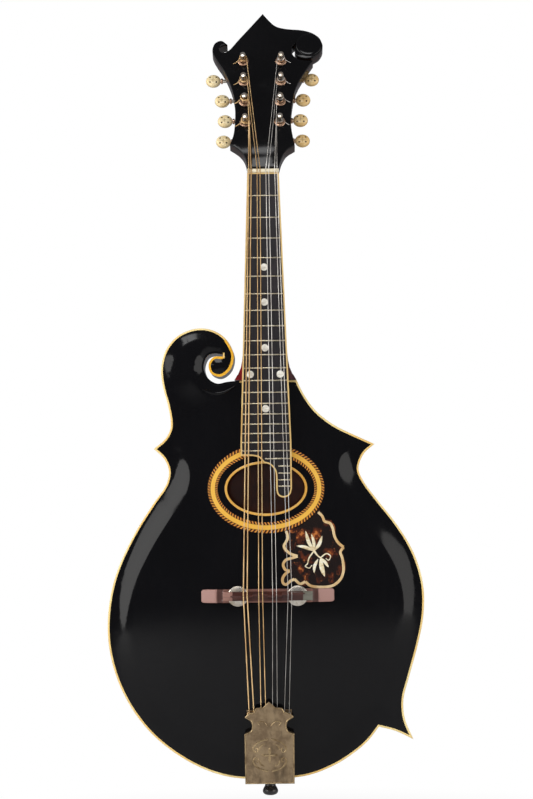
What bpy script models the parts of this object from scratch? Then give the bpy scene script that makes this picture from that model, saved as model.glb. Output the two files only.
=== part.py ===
"""A scroll-bodied mandolin with a carved top, an oval soundhole and geared tuners, in metres.
+Z runs up the neck and the front faces -Y. Z = 0 is the end button's flat outer face."""

import math

import bmesh
import bpy
import numpy as np
from mathutils import Matrix, Vector
from mathutils.geometry import delaunay_2d_cdt

for old in list(bpy.data.objects):
    bpy.data.objects.remove(old, do_unlink=True)

# Sizes are in millimetres; solid() turns them into metres.
GAP = 0.3  # between pieces that touch
SCALE_LENGTH = 352.4  # nut to bridge, 13 7/8 in
NUT_Z = 524.0
NUT_THICK = 3.2
JOIN_Z = 348.3  # where the neck leaves the body, at the twelfth fret

RIM_DEPTH = 44.0  # outer faces of both plates, at their edge
PLATE = 4.0
RIB = 2.3
TOP_ARCH = 14.0
BACK_ARCH = 13.0
SCROLL_RISE = 4.0
ARCH_CENTRE = (-2.0, 170.0)
ARCH_REACH = (140.0, 165.0)
ARCH_FADE = 14.0
BINDING = 1.5
LINING = (5.0, 7.5)  # width, height
BLOCK_Z = 314.0  # the neck block fills the body above this

# The body's outline, front view, clockwise from the bottom: one run of points between each two corners
BODY_RUNS = (
    ((0, 15.8), (-35, 18.7), (-63, 29), (-92.5, 49.4), (-112, 72), (-126.2, 99.7), (-133.4, 130),
     (-133, 160), (-126, 189.5), (-111, 221), (-94, 247.5), (-84, 262), (-81.7, 274), (-86, 284.2),
     (-94.2, 292)),
    ((-94.2, 292), (-84.6, 300), (-79.8, 310), (-81.6, 327), (-85.9, 343.8), (-87.3, 359), (-83, 375),
     (-73, 386.5), (-58, 392.4), (-44, 391), (-32.5, 383.2), (-26.3, 370), (-29.4, 357.7), (-38, 351.9),
     (-45.8, 355.2), (-47.2, 363), (-42.9, 368.4), (-35.5, 368.7)),
    ((-35.5, 368.7), (-35.5, 370.6)),
    ((-35.5, 370.6), (-42, 371.6), (-48.3, 369.5), (-51.8, 360), (-48.2, 350.7), (-40.6, 346),
     (-32.1, 347.3), (-22, JOIN_Z)),
    ((-22, JOIN_Z), (26.2, JOIN_Z)),
    ((26.2, JOIN_Z), (31.3, 337.5), (41.9, 322.4), (57, 310.3), (73.3, 302), (90.6, 294)),
    ((90.6, 294), (81.5, 285.8), (77, 273.5), (81, 263), (92.7, 246.8), (108.2, 226.7), (122, 203),
     (129.5, 177), (129.5, 151), (124.5, 126.7), (116.5, 98.8), (111.8, 81), (112.8, 65), (119.6, 48)),
    ((119.6, 48), (105, 55), (91.1, 58.7)),
    ((91.1, 58.7), (82, 47.3), (70.3, 37.5), (54.3, 27.6), (32, 19.2), (0, 15.8)),
)

HOLE = (-0.5, 257.9)  # soundhole centre
HOLE_BINDING = ((32.4, 20.8), (34.3, 22.7))
ROSETTE = ((40.2, 28.0), (48.6, 37.1))
INLAY = 1.0  # thickness of the rosette and the inlaid guard

GUARD_RUNS = (
    ((14.9, 221.6), (15.4, 215), (12.9, 209.6), (14.2, 204.6), (18.8, 201.6)),
    ((18.8, 201.6), (13.6, 199.2), (12, 195.6), (13.2, 192.2), (17.4, 189.9)),
    ((17.4, 189.9), (12.4, 186.5), (11, 182), (13.6, 177.8), (17.5, 178.1), (20.6, 181.2)),
    ((20.6, 181.2), (24, 177.8), (29.5, 177.3)),
    ((29.5, 177.3), (35.5, 175.2), (52.6, 175.1), (60, 179.8), (64.2, 187), (64.6, 197), (61.8, 206)),
    ((61.8, 206), (63.6, 208.9)),
    ((63.6, 208.9), (59.4, 213.4), (57, 219), (56.4, 226), (53, 230.9)),
    ((53, 230.9), (47.9, 232.4), (46.9, 236.5), (44.1, 239.6)),
)

BOARD_HALF = (13.4, 21.1)  # at the nut, and where the edges turn parallel
BOARD_WIDE_Z = 296.2  # the eighteenth fret
BOARD_THICK = 5.5
BOARD_FRONT = -32.0  # its front face, at the twelfth fret
NECK_SLOPE = math.tan(math.radians(4.5))
BOARD_END = (
    ((-21.1, 285.2), (-12, 285), (-6, 283.6), (-2, 279.2)),
    ((-2, 279.2), (3, 277.6), (7.2, 272.5), (8.1, 264), (8.2, 256), (10, 251.8), (14.6, 250.3),
     (19.2, 252.4), (21.1, 257.5)),
)
BOARD_BINDING = 1.2
FRETS = 24
FRET_SIZE = (1.2, 0.9)  # wide, high
NECK_SECTIONS = (  # Z, half-width past the board's, depth
    (348.6, 6.6, 45.3), (353, 3.9, 37.0), (358, 1.7, 29.0), (364, 0.5, 22.5), (372, 0, 18.3), (388, 0, 16.6),
    (430, 0, 15.6), (505, 0, 14.6), (518, 0, 13.6), (528.6, 0, 9.8),
)
TENON = (9.0, 10.5)  # half-width, length

HEAD_ORIGIN = (0.0, -15.5, 528.0)
HEAD_LEAN = 20.0  # back from the Z axis, in degrees
HEAD_THICK = 12.7
VENEER = 1.5
HEAD_RUNS = (  # across and along the head, from the nut
    ((-13.4, 0.9), (-14.2, 6.5), (-16.5, 12.9), (-21, 18.6), (-27.9, 23.7)),
    ((-27.9, 23.7), (-25, 32), (-23.5, 46), (-23.9, 65.5), (-27, 80), (-32.9, 95.1), (-40.6, 108.5),
     (-43, 116.1), (-40.6, 123.6), (-35.2, 126), (-29.9, 122)),
    ((-29.9, 122), (-33.8, 121), (-37.4, 118.2), (-35.2, 114.4), (-30.5, 114.6), (-20.1, 126.9),
     (-10.2, 139), (0.9, 152.8)),
    ((0.9, 152.8), (5.5, 146.6), (12, 140), (21, 137.1), (36.6, 135.2), (47, 130.3), (52.6, 120),
     (49.5, 112), (43.6, 107.6)),
    ((43.6, 107.6), (36.5, 107.1), (30.2, 109.9), (28.3, 115.5), (29.9, 122.9)),
    ((29.9, 122.9), (26, 118.5), (26.2, 112), (30.4, 107), (37, 105.3), (44, 104.8)),
    ((44, 104.8), (37, 93.5), (29, 78), (25, 58), (24.4, 40), (27.2, 21.9)),
    ((27.2, 21.9), (20, 16.8), (15.5, 8.5), (13.5, 0.9)),
    ((13.5, 0.9), (-13.4, 0.9)),
)

POSTS = ((14.8, 44.6), (15.3, 64.7), (16.0, 84.8), (16.4, 104.9))  # across, along the head
POST_RADIUS = 2.5
POST_TOP = 11.8
POST_BACK = -22.3
GEAR_LEVEL = -19.5  # the worm's axis, behind the head's front
TEETH = 14
GEAR_PITCH = 5.2
GEAR_RADII = (4.15, 5.85)
GEAR_THICK = 3.4
WORM_PITCH = 2.8
WORM_RADII = (1.95, 3.6)
WORM_TURNS = 3
LEAD = 2 * math.pi * GEAR_PITCH / TEETH
SHAFT_RADIUS = 1.55
BUTTON_X = (33.9, 32.5, 35.0, 42.7)
BUTTON = (6.45, 5.9, 3.4)  # half sizes
TUNER_PLATE = (7.8, 23.4, 34.5, 112.0)  # inner and outer edge, start and end
TUNER_PLATE_THICK = 1.0
LUG = (5.6, 1.1, 3.3)  # start beside the post, thickness, half-width

STRING_X = (  # at the tailpiece, the saddle and the nut
    (16.5, 19.9, 11.9), (12.6, 16.8, 9.9), (6.7, 7.3, 4.9), (2.8, 4.1, 2.45),
)
STRING_RADII = {"b": (0.5, 0.5, 0.35, 0.35), "t": (0.2, 0.2, 0.22, 0.22)}
WIND_TOP = (5.0, 8.6, 5.2, 6.4)
NUT_FRONT = -18.9

BRIDGE_Z = 169.4
BASE_HALF = (55.0, 5.5)
BASE_FRONT = -41.0
WHEEL_X = 24.6
WHEEL = (8.5, 1.8, 1.7)  # radius, hole radius, thickness
WHEEL_BACK = -42.2
STUD_RADIUS = 1.5
STUD = (-37.5, -47.2)
SADDLE_HALF = 37.0
SADDLE_BACK = -44.2
SADDLE_FRONT = -50.0

HOOK_Z = 71.8
HOOK = (0.9, -37.0)  # radius, front
TAIL_PLATE = 1.2
COVER_SLOPE = ((14.0, -33.5), (82.0, -40.6))  # Z and Y of its front face
COVER_WALL = 0.8
COVER_RUNS = (
    ((-20.4, 14.0), (-20.6, 55.6)),
    ((-20.6, 55.6), (-15, 58.5), (-15, 65.5), (-20.4, 69.4)),
    ((-20.4, 69.4), (-16.8, 72.8), (-12.8, 73.6)),
    ((-12.8, 73.6), (-10.8, 77), (-5.6, 77.4)),
    ((-5.6, 77.4), (-3.4, 79.4), (-0.2, 82.4)),
    ((-0.2, 82.4), (3.2, 79.4), (5.4, 77.4)),
    ((5.4, 77.4), (10.6, 77), (12.8, 73.6)),
    ((12.8, 73.6), (16.8, 72.8), (20.4, 69.4)),
    ((20.4, 69.4), (15, 65.5), (15, 58.5), (20.6, 55.6)),
    ((20.6, 55.6), (20.4, 14.0)),
    ((20.4, 14.0), (-20.4, 14.0)),
)
PIN_RADIUS = 3.0
BUTTON_PROFILE = (  # the end button: radius and Z
    (0, 0), (4.2, 0), (5.9, 1.2), (6.5, 3.4), (5.7, 6.0), (4.6, 8.0), (4.6, 11.6), (6.0, 12.6), (6.0, 14.0),
    (PIN_RADIUS, 14.0), (PIN_RADIUS, 29.0), (2.2, 30.0), (0, 30.0),
)

MATERIALS = {}


def material(name, colour, metallic=0.0, roughness=0.4):
    """Give back the material of this name, made on first use."""
    if name not in MATERIALS:
        made = bpy.data.materials.new(name)
        made.use_nodes = True
        shader = made.node_tree.nodes["Principled BSDF"]
        shader.inputs["Base Color"].default_value = (*colour, 1)
        shader.inputs["Metallic"].default_value = metallic
        shader.inputs["Roughness"].default_value = roughness
        MATERIALS[name] = made
    return MATERIALS[name]


def solid(name, points, faces, look, origin=(0, 0, 0), turn=0.0, smooth=False):
    """Make one object from local points in mm; origin is its place in mm and turn its rotation about X."""
    mesh = bpy.data.meshes.new(name)
    mesh.from_pydata([tuple(c * 0.001 for c in p) for p in points], [], [tuple(map(int, f)) for f in faces])
    work = bmesh.new()
    work.from_mesh(mesh)
    bmesh.ops.recalc_face_normals(work, faces=work.faces)
    work.to_mesh(mesh)
    work.free()
    if look:
        mesh.materials.append(look)
    if smooth:
        mesh.shade_smooth()
    made = bpy.data.objects.new(name, mesh)
    made.location = [c * 0.001 for c in origin]
    made.rotation_euler = (turn, 0, 0)
    bpy.context.scene.collection.objects.link(made)
    return made


def combine(body, other, how):
    """Join, cut or clip a body with another, which is used up."""
    step = body.modifiers.new(how, "BOOLEAN")
    step.operation = how
    step.solver = "EXACT"
    step.object = other
    other.hide_render = True
    other.display_type = "WIRE"
    bpy.context.view_layer.update()
    graph = bpy.context.evaluated_depsgraph_get()
    mesh = bpy.data.meshes.new_from_object(body.evaluated_get(graph))
    body.modifiers.clear()
    body.data = mesh
    bpy.data.objects.remove(other, do_unlink=True)
    return body


def curve(points):
    """A smooth line through these points, with more steps where it turns."""
    p = np.array(points, float)
    if len(p) == 2:
        return p
    p = np.vstack([2 * p[0] - p[1], p, 2 * p[-1] - p[-2]])
    out = [p[1]]
    for a, b, c, d in zip(p, p[1:], p[2:], p[3:]):
        k = [0, *np.cumsum([math.sqrt(np.linalg.norm(v)) for v in (b - a, c - b, d - c)])]
        turn = abs(math.remainder(math.atan2(*(d - b)) - math.atan2(*(c - a)), 2 * math.pi))
        steps = max(1, math.ceil(turn / 0.33))
        for t in np.linspace(k[1], k[2], steps + 1)[1:]:
            mix = lambda u, v, i, j: u * (k[j] - t) / (k[j] - k[i]) + v * (t - k[i]) / (k[j] - k[i])
            ab, bc, cd = mix(a, b, 0, 1), mix(b, c, 1, 2), mix(c, d, 2, 3)
            out.append(mix(mix(ab, bc, 0, 2), mix(bc, cd, 1, 3), 1, 2))
    return np.array(out)


def crossing(a, b, c, d):
    """Where line ab meets line cd, as its place along each, or None where they are parallel."""
    u, v, w = b - a, d - c, c - a
    base = u[0] * v[1] - u[1] * v[0]
    if abs(base) < 1e-9:
        return None
    return (w[0] * v[1] - w[1] * v[0]) / base, (w[0] * u[1] - w[1] * u[0]) / base


def outline(runs, inset=0.0):
    """A closed outline from its runs, moved inwards by inset and mended at the corners."""
    lines = [curve(run) for run in runs]
    if inset:
        x, z = np.vstack(lines).T
        inset *= math.copysign(1, (np.roll(x, -1) * z - x * np.roll(z, -1)).sum())
        for i, line in enumerate(lines):
            ahead = np.diff(line, axis=0)
            ahead /= np.linalg.norm(ahead, axis=1)[:, None]
            side = np.column_stack([ahead[:, 1], -ahead[:, 0]])
            mean = np.vstack([side[:1], side[1:] + side[:-1], side[-1:]])
            mean[1:-1] /= (1 + (side[1:] * side[:-1]).sum(axis=1))[:, None]
            lines[i] = line + inset * mean
        for i in range(len(lines)):
            first, second = lines[i - 1], lines[i]
            met = None
            for m in range(len(first) - 2, -1, -1):
                for n in range(len(second) - 1):
                    at = crossing(first[m], first[m + 1], second[n], second[n + 1])
                    if at and 0 <= at[0] <= 1 and 0 <= at[1] <= 1:
                        met = m, n, at
                        break
                if met:
                    break
            if met:
                m, n, at = met
                corner = first[m] + (first[m + 1] - first[m]) * at[0]
                lines[i - 1] = np.vstack([first[: m + 1], corner])
                lines[i] = np.vstack([corner, second[n + 1 :]])
                continue
            at = crossing(first[-2], first[-1], second[0], second[1])
            if at and 1 < at[0] < 60 and np.linalg.norm(first[-1] - second[0]) > 0.2:
                corner = first[-2] + (first[-1] - first[-2]) * at[0]
                if np.linalg.norm(corner - first[-1]) < 3 * abs(inset):
                    lines[i - 1] = np.vstack([first, corner])
    joined = np.vstack(lines)
    far = np.linalg.norm(joined - np.roll(joined, 1, axis=0), axis=1) > 0.05
    return joined[far]


def ring(centre, radii, count=32):
    """An ellipse's points."""
    turn = np.arange(count) * 2 * math.pi / count
    return np.column_stack([centre[0] + radii[0] * np.cos(turn), centre[1] + radii[1] * np.sin(turn)])


def within(points, loop):
    """Which points are inside a closed loop."""
    a, b = loop, np.roll(loop, -1, axis=0)
    x, z = points[:, :1], points[:, 1:]
    spans = (a[:, 1] > z) != (b[:, 1] > z)
    with np.errstate(divide="ignore", invalid="ignore"):
        cut = a[:, 0] + (z - a[:, 1]) * (b[:, 0] - a[:, 0]) / (b[:, 1] - a[:, 1])
    return (spans & (x < cut)).sum(axis=1) % 2 == 1


def edge_distance(points, loop):
    """How far each point is from a closed loop."""
    a = loop
    step = np.roll(loop, -1, axis=0) - a
    t = ((points[:, None] - a) * step).sum(axis=2) / (step**2).sum(axis=1)
    near = a + np.clip(t, 0, 1)[..., None] * step
    return np.linalg.norm(points[:, None] - near, axis=2).min(axis=1)


def split(loop, spacing):
    """A closed loop with its long sides cut to the spacing."""
    if not spacing:
        return loop
    out = []
    for a, b in zip(loop, np.roll(loop, -1, axis=0)):
        steps = max(1, round(np.linalg.norm(b - a) / spacing))
        out += [a + (b - a) * i / steps for i in range(steps)]
    return np.array(out)


def slab(name, loop, holes, front, back, look, spacing=0.0, **more):
    """A solid over an outline, between two faces. Each face is a Y, or a function of (x, z)."""
    loops = [split(np.array(each, float), spacing) for each in (loop, *holes)]
    points, edges = [], []
    for each in loops:
        first = len(points)
        points += [Vector(p) for p in each]
        edges += [(first + i, first + (i + 1) % len(each)) for i in range(len(each))]
    if spacing:
        low, high = loops[0].min(axis=0), loops[0].max(axis=0)
        grid = np.array([
            (x + spacing / 2 * (row % 2), z)
            for row, z in enumerate(np.arange(low[1], high[1], spacing * 0.87))
            for x in np.arange(low[0], high[0], spacing)
        ])
        keep = within(grid, loops[0])
        for each in loops:
            keep &= edge_distance(grid, each) > 0.4 * spacing
        for each in loops[1:]:
            keep &= ~within(grid, each)
        points += [Vector(p) for p in grid[keep]]
    flat, _, faces, *_ = delaunay_2d_cdt(points, edges, [], 0, 1e-6)
    flat = np.array([tuple(p) for p in flat])
    faces = np.array(faces)
    middle = flat[faces].mean(axis=1)
    inside = within(middle, loops[0])
    for each in loops[1:]:
        inside &= ~within(middle, each)
    faces = faces[inside]
    used, faces = np.unique(faces, return_inverse=True)
    flat, faces = flat[used], faces.reshape(-1, 3)
    level = [f(flat[:, 0], flat[:, 1]) if callable(f) else np.full(len(flat), f) for f in (front, back)]
    points = [(x, y, z) for side in level for (x, z), y in zip(flat, side)]
    count = len(flat)
    sides = {(a, b) for f in faces for a, b in zip(f, np.roll(f, -1))}
    walls = [(a, b, b + count, a + count) for a, b in sides if (b, a) not in sides]
    return solid(name, points, [*faces[:, ::-1], *(faces + count), *walls], look, **more)


def loft(name, rings, look, **more):
    """A solid through rings of the same number of points, closed at both ends."""
    count = len(rings[0])
    faces = [
        (r * count + i, r * count + (i + 1) % count, (r + 1) * count + (i + 1) % count, (r + 1) * count + i)
        for r in range(len(rings) - 1)
        for i in range(count)
    ]
    ends = [tuple(range(count))[::-1], tuple(range((len(rings) - 1) * count, len(rings) * count))]
    return solid(name, [p for each in rings for p in each], faces + ends, look, **more)


def block(name, low, high, look=None, **more):
    """A box between two corners."""
    (a, b, c), (d, e, f) = low, high
    corner = lambda y: [(a, y, c), (d, y, c), (d, y, f), (a, y, f)]
    return loft(name, [corner(b), corner(e)], look, **more)


def rods(name, axis, places, radius, low, high, count=16, **more):
    """Round rods along one axis (0, 1 or 2), at places on the other two, as one mesh for cutting."""
    points, faces = [], []
    for place in places:
        start = len(points)
        for end in (low, high):
            for i in range(count):
                turn = 2 * math.pi * i / count
                flat = [place[0] + radius * math.cos(turn), place[1] + radius * math.sin(turn)]
                flat.insert(axis, end)
                points.append(flat)
        faces += [
            (start + i, start + (i + 1) % count, start + count + (i + 1) % count, start + count + i)
            for i in range(count)
        ]
        faces += [range(start, start + count), range(start + count, start + 2 * count)]
    return solid(name, points, faces, None, **more)


def tube(name, path, radius, look, sides=6):
    """A round wire along a path."""
    path = np.array(path, float)
    rings, side = [], None
    for i, p in enumerate(path):
        ahead = path[min(i + 1, len(path) - 1)] - path[max(i - 1, 0)]
        ahead /= np.linalg.norm(ahead)
        side = np.array([1.0, 0, 0]) if side is None else side
        side = side - ahead * side.dot(ahead)
        side /= np.linalg.norm(side)
        up = np.cross(ahead, side)
        turns = [2 * math.pi * k / sides for k in range(sides)]
        rings.append([p + radius * (math.cos(t) * side + math.sin(t) * up) for t in turns])
    return loft(name, rings, look, smooth=True)


BODY = outline(BODY_RUNS)


def arch(x, z, height):
    """How far a carved plate stands out from its edge."""
    x, z = np.asarray(x, float), np.asarray(z, float)
    shape = np.broadcast(x, z).shape
    points = np.column_stack([np.broadcast_to(x, shape).ravel(), np.broadcast_to(z, shape).ravel()])
    across = ((points - ARCH_CENTRE) / ARCH_REACH) ** 2
    dome = np.clip(1 - across.sum(axis=1), 0, None) * height
    scroll = SCROLL_RISE * np.exp(-((points[:, 0] + 60) ** 2 + (points[:, 1] - 360) ** 2) / 26.0**2)
    far = np.where(within(points, BODY), edge_distance(points, BODY), 0)
    t = np.clip(far / ARCH_FADE, 0, 1)
    return ((dome + scroll) * t * t * (3 - 2 * t)).reshape(shape)


def top_face(back=0.0):
    """The top's outer surface, moved back by this much."""
    return lambda x, z: -RIM_DEPTH / 2 - arch(x, z, TOP_ARCH) + back


def board_face(back=0.0):
    """The fingerboard's front plane, moved back by this much."""
    return lambda x, z: BOARD_FRONT + (np.asarray(z) - JOIN_Z) * NECK_SLOPE + back


def guard_loop(inset=0.0):
    """The guard's outline, closed at the top along the rosette."""
    close = np.radians(np.linspace(-22, -72, 9))
    reach = np.array(ROSETTE[1]) + 0.9
    along = np.column_stack([HOLE[0] + reach[0] * np.cos(close), HOLE[1] + reach[1] * np.sin(close)])
    along = along[(along[:, 0] > 15.4) & (along[:, 0] < 43.6)]
    return outline((*GUARD_RUNS, (GUARD_RUNS[-1][-1], *along, GUARD_RUNS[0][0])), inset)


def make_top():
    """Carved spruce top, pocketed for the inlays and open at the soundhole."""
    wood = material("spruce_black", (0.02, 0.018, 0.018), roughness=0.15)
    top = slab("top_plate", outline(BODY_RUNS, BINDING + GAP), [], top_face(), top_face(PLATE), wood, 15,
               smooth=True)
    wide = ring(HOLE, np.array(HOLE_BINDING[1]) + GAP)
    combine(top, slab("cut", wide, [], -60, 0, None), "DIFFERENCE")
    grown = [ring(HOLE, np.array(r) + d) for r, d in zip(ROSETTE, (-GAP, GAP))]
    combine(top, slab("cut", grown[1], [grown[0]], top_face(-3), top_face(INLAY + GAP), None), "DIFFERENCE")
    combine(top, slab("cut", guard_loop(-GAP), [], top_face(-3), top_face(INLAY + GAP), None, 14), "DIFFERENCE")


def make_inlays():
    """Soundhole binding, marquetry rosette and the inlaid pickguard."""
    cream = material("hole_binding", (0.75, 0.62, 0.33))
    slab("soundhole_binding", ring(HOLE, HOLE_BINDING[1]), [ring(HOLE, HOLE_BINDING[0])],
         top_face(), top_face(PLATE), cream)
    rope = material("rosette", (0.55, 0.38, 0.18))
    slab("rosette_ring", ring(HOLE, ROSETTE[1]), [ring(HOLE, ROSETTE[0])], top_face(), top_face(INLAY), rope)
    shell = material("guard", (0.10, 0.03, 0.015), roughness=0.2)
    slab("inlaid_pickguard", guard_loop(), [], top_face(), top_face(INLAY), shell, 14)


def make_top_binding():
    """Binding round the top's edge."""
    cream = material("body_binding", (0.78, 0.70, 0.50))
    slab("top_binding", BODY, [outline(BODY_RUNS, BINDING)], -RIM_DEPTH / 2, -RIM_DEPTH / 2 + PLATE, cream)


def make_back():
    """Carved maple back."""
    wood = material("maple_back", (0.10, 0.03, 0.015), roughness=0.2)
    slab("back_plate", BODY, [], RIM_DEPTH / 2 - PLATE,
         lambda x, z: RIM_DEPTH / 2 + arch(x, z, BACK_ARCH), wood, 17, smooth=True)


def make_sides():
    """Bent ribs, open for the tenon and the end pin."""
    wood = material("maple_ribs", (0.09, 0.03, 0.015), roughness=0.2)
    reach = RIM_DEPTH / 2 - PLATE - GAP
    ribs = slab("rib_ring", BODY, [outline(BODY_RUNS, RIB)], -reach, reach, wood)
    wide = TENON[0] + GAP
    combine(ribs, block("cut", (-wide, -reach - 1, JOIN_Z - 9), (wide, reach + 1, JOIN_Z + 5)), "DIFFERENCE")
    combine(ribs, rods("cut", 2, [(0, 0)], PIN_RADIUS + GAP, 5, 25), "DIFFERENCE")


def make_linings():
    """Lining strips that glue the ribs to the plates."""
    wood = material("basswood", (0.62, 0.46, 0.28), roughness=0.7)
    reach = RIM_DEPTH / 2 - PLATE - GAP
    for name, low, high in (("top_lining", -reach, LINING[1] - reach), ("back_lining", reach - LINING[1], reach)):
        inner, outer = outline(BODY_RUNS, RIB + GAP + LINING[0]), outline(BODY_RUNS, RIB + GAP)
        strip = slab(name, outer, [inner], low, high, wood)
        combine(strip, block("clip", (-200, -50, 0), (200, 50, BLOCK_Z - GAP)), "INTERSECT")


def make_blocks():
    """Neck and scroll block, tail block and the brace across the top."""
    wood = material("mahogany", (0.33, 0.14, 0.07), roughness=0.6)
    reach = RIM_DEPTH / 2 - PLATE - GAP
    neck = slab("neck_block", outline(BODY_RUNS, RIB + GAP), [], -reach, reach, wood)
    combine(neck, block("clip", (-200, -50, BLOCK_Z), (200, 50, 450)), "INTERSECT")
    wide = TENON[0] + GAP
    combine(neck, block("cut", (-wide, -50, JOIN_Z - TENON[1] - GAP), (wide, 50, 400)), "DIFFERENCE")
    tail = slab("tail_block", outline(BODY_RUNS, RIB + GAP), [], -reach, reach, wood)
    combine(tail, block("clip", (-28, -50, 0), (28, 50, 36)), "INTERSECT")
    for low, high in ((-60, LINING[1] - reach + GAP), (reach - LINING[1] - GAP, 60)):
        combine(tail, slab("cut", outline(BODY_RUNS, 0.5), [outline(BODY_RUNS, RIB + LINING[0] + 2 * GAP)],
                           low, high, None), "DIFFERENCE")
    combine(tail, rods("cut", 2, [(0, 0)], PIN_RADIUS + GAP, 5, 50), "DIFFERENCE")
    pale = material("spruce_brace", (0.72, 0.57, 0.36), roughness=0.7)
    slab("tone_bar", [(-86, 216), (86, 216), (86, 221), (-86, 221)], [], top_face(PLATE + GAP + 0.12),
         top_face(PLATE + GAP + 8), pale, 12)


def board_loop(inset=0.0):
    """The fingerboard's outline, clockwise from the nut's treble end."""
    nut, wide = BOARD_HALF
    end = NUT_Z - GAP
    left = BOARD_END[0][0]
    right = BOARD_END[1][-1]
    runs = (
        ((-wide, BOARD_WIDE_Z), (-nut, end)), ((-nut, end), (nut, end)), ((nut, end), (wide, BOARD_WIDE_Z)),
        ((wide, BOARD_WIDE_Z), right), BOARD_END[1][::-1], BOARD_END[0][::-1], (left, (-wide, BOARD_WIDE_Z)),
    )
    return outline(runs, inset)


def fret_z(number):
    return NUT_Z - SCALE_LENGTH * (1 - 2 ** (-number / 12))


def board_half(z):
    """Half the fingerboard's width."""
    nut, wide = BOARD_HALF
    return min(wide, nut + (wide - nut) * (NUT_Z - z) / (NUT_Z - BOARD_WIDE_Z))


def make_fingerboard():
    """Ebony board with its frets, and the binding along its edges."""
    ebony = material("ebony", (0.03, 0.022, 0.02), roughness=0.45)
    inner = board_loop(BOARD_BINDING + GAP)
    board = slab("fingerboard", inner, [], board_face(), board_face(BOARD_THICK), ebony)
    wires = []
    for number in range(1, FRETS + 1):
        z, half = fret_z(number), board_half(fret_z(number)) - BOARD_BINDING - GAP - 0.4
        left = {20: -1.0}.get(number, -half) if number < 21 else 9.9
        wires.append((left, half, z))
    points, faces = [], []
    for left, right, z in wires:
        start, y = len(points), float(board_face()(0, z))
        for x in (left, right):
            points += [(x, y + 1.5, z - FRET_SIZE[0] / 2), (x, y - 0.4, z - FRET_SIZE[0] / 2),
                       (x, y - FRET_SIZE[1], z), (x, y - 0.4, z + FRET_SIZE[0] / 2),
                       (x, y + 1.5, z + FRET_SIZE[0] / 2)]
        faces += [(start + i, start + (i + 1) % 5, start + 5 + (i + 1) % 5, start + 5 + i) for i in range(5)]
        faces += [range(start, start + 5), range(start + 5, start + 10)]
    combine(board, solid("wires", points, faces, None), "UNION")
    cream = material("board_binding", (0.80, 0.72, 0.52))
    edge = slab("fingerboard_binding", board_loop(), [board_loop(BOARD_BINDING)], board_face(),
                board_face(BOARD_THICK), cream)
    combine(edge, block("cut", (-11.9, -60, NUT_Z - 3), (11.9, 60, NUT_Z + 3)), "DIFFERENCE")


def make_nut():
    """Nut at the board's end, standing on the neck."""
    ivory = material("ivory", (0.86, 0.80, 0.66), roughness=0.35)
    back = float(board_face(BOARD_THICK)(0, NUT_Z))
    block("nut", (-13.4, NUT_FRONT, NUT_Z), (13.4, back, NUT_Z + NUT_THICK), ivory)


def make_neck():
    """Neck, heel, tenon and the core of the head, one piece of wood."""
    wood = material("neck_mahogany", (0.20, 0.06, 0.03), roughness=0.25)
    rings = []
    turns = np.linspace(0, math.pi, 13)
    for z, past, depth in NECK_SECTIONS:
        half, front = board_half(z) + past, float(board_face(BOARD_THICK + GAP)(0, z))
        bend = [(-half * math.cos(t), front + depth * math.sin(t) ** 0.8, z) for t in turns]
        rings.append(bend)
    neck = loft("neck", rings, wood, smooth=False)
    start = 286.5
    strip = [(-17.5, start), (-17.5, 352), (17.5, 352), (17.5, start)]
    rest = slab("rest", strip, [], board_face(BOARD_THICK + GAP + 0.1), top_face(-GAP - 0.3), None, 9)
    combine(neck, rest, "UNION")
    reach = RIM_DEPTH / 2 - PLATE - 2 * GAP
    combine(neck, block("tenon", (-TENON[0], -reach, JOIN_Z - TENON[1]), (TENON[0], reach, 351)), "UNION")
    core = slab("core", outline(HEAD_RUNS), [], VENEER + GAP, HEAD_THICK, None)
    core.data.transform(Matrix(((1, 0, 0, 0), (0, 0, 1, 0), (0, -1, 0, 0), (0, 0, 0, 1))))
    core.location = [c * 0.001 for c in HEAD_ORIGIN]
    core.rotation_euler = (math.radians(90 - HEAD_LEAN), 0, 0)
    combine(neck, core, "UNION")
    places = [(side * x, s) for x, s in POSTS for side in (-1, 1)]
    combine(neck, on_head(rods, "cut", 2, places, POST_RADIUS + GAP, -30, 5), "DIFFERENCE")


def on_head(make, *args, **more):
    """Make something in the head's own frame: X across it, Y along it, Z out of its front."""
    return make(*args, origin=HEAD_ORIGIN, turn=math.radians(90 - HEAD_LEAN), **more)


def head_point(x, along, out):
    """A point in the head's frame, as a world point in mm."""
    turn = Matrix.Rotation(math.radians(90 - HEAD_LEAN), 3, "X")
    return Vector(HEAD_ORIGIN) + turn @ Vector((x, along, out))


def make_veneer():
    """Thin face over the head, bored for the posts."""
    wood = material("head_veneer", (0.015, 0.014, 0.014), roughness=0.12)
    face = slab("headstock_veneer", outline(HEAD_RUNS), [], 0, VENEER, wood)
    face.data.transform(Matrix(((1, 0, 0, 0), (0, 0, 1, 0), (0, -1, 0, 0), (0, 0, 0, 1))))
    face.location = [c * 0.001 for c in HEAD_ORIGIN]
    face.rotation_euler = (math.radians(90 - HEAD_LEAN), 0, 0)
    places = [(side * x, s) for x, s in POSTS for side in (-1, 1)]
    combine(face, on_head(rods, "cut", 2, places, POST_RADIUS + GAP, -5, 5), "DIFFERENCE")


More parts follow.
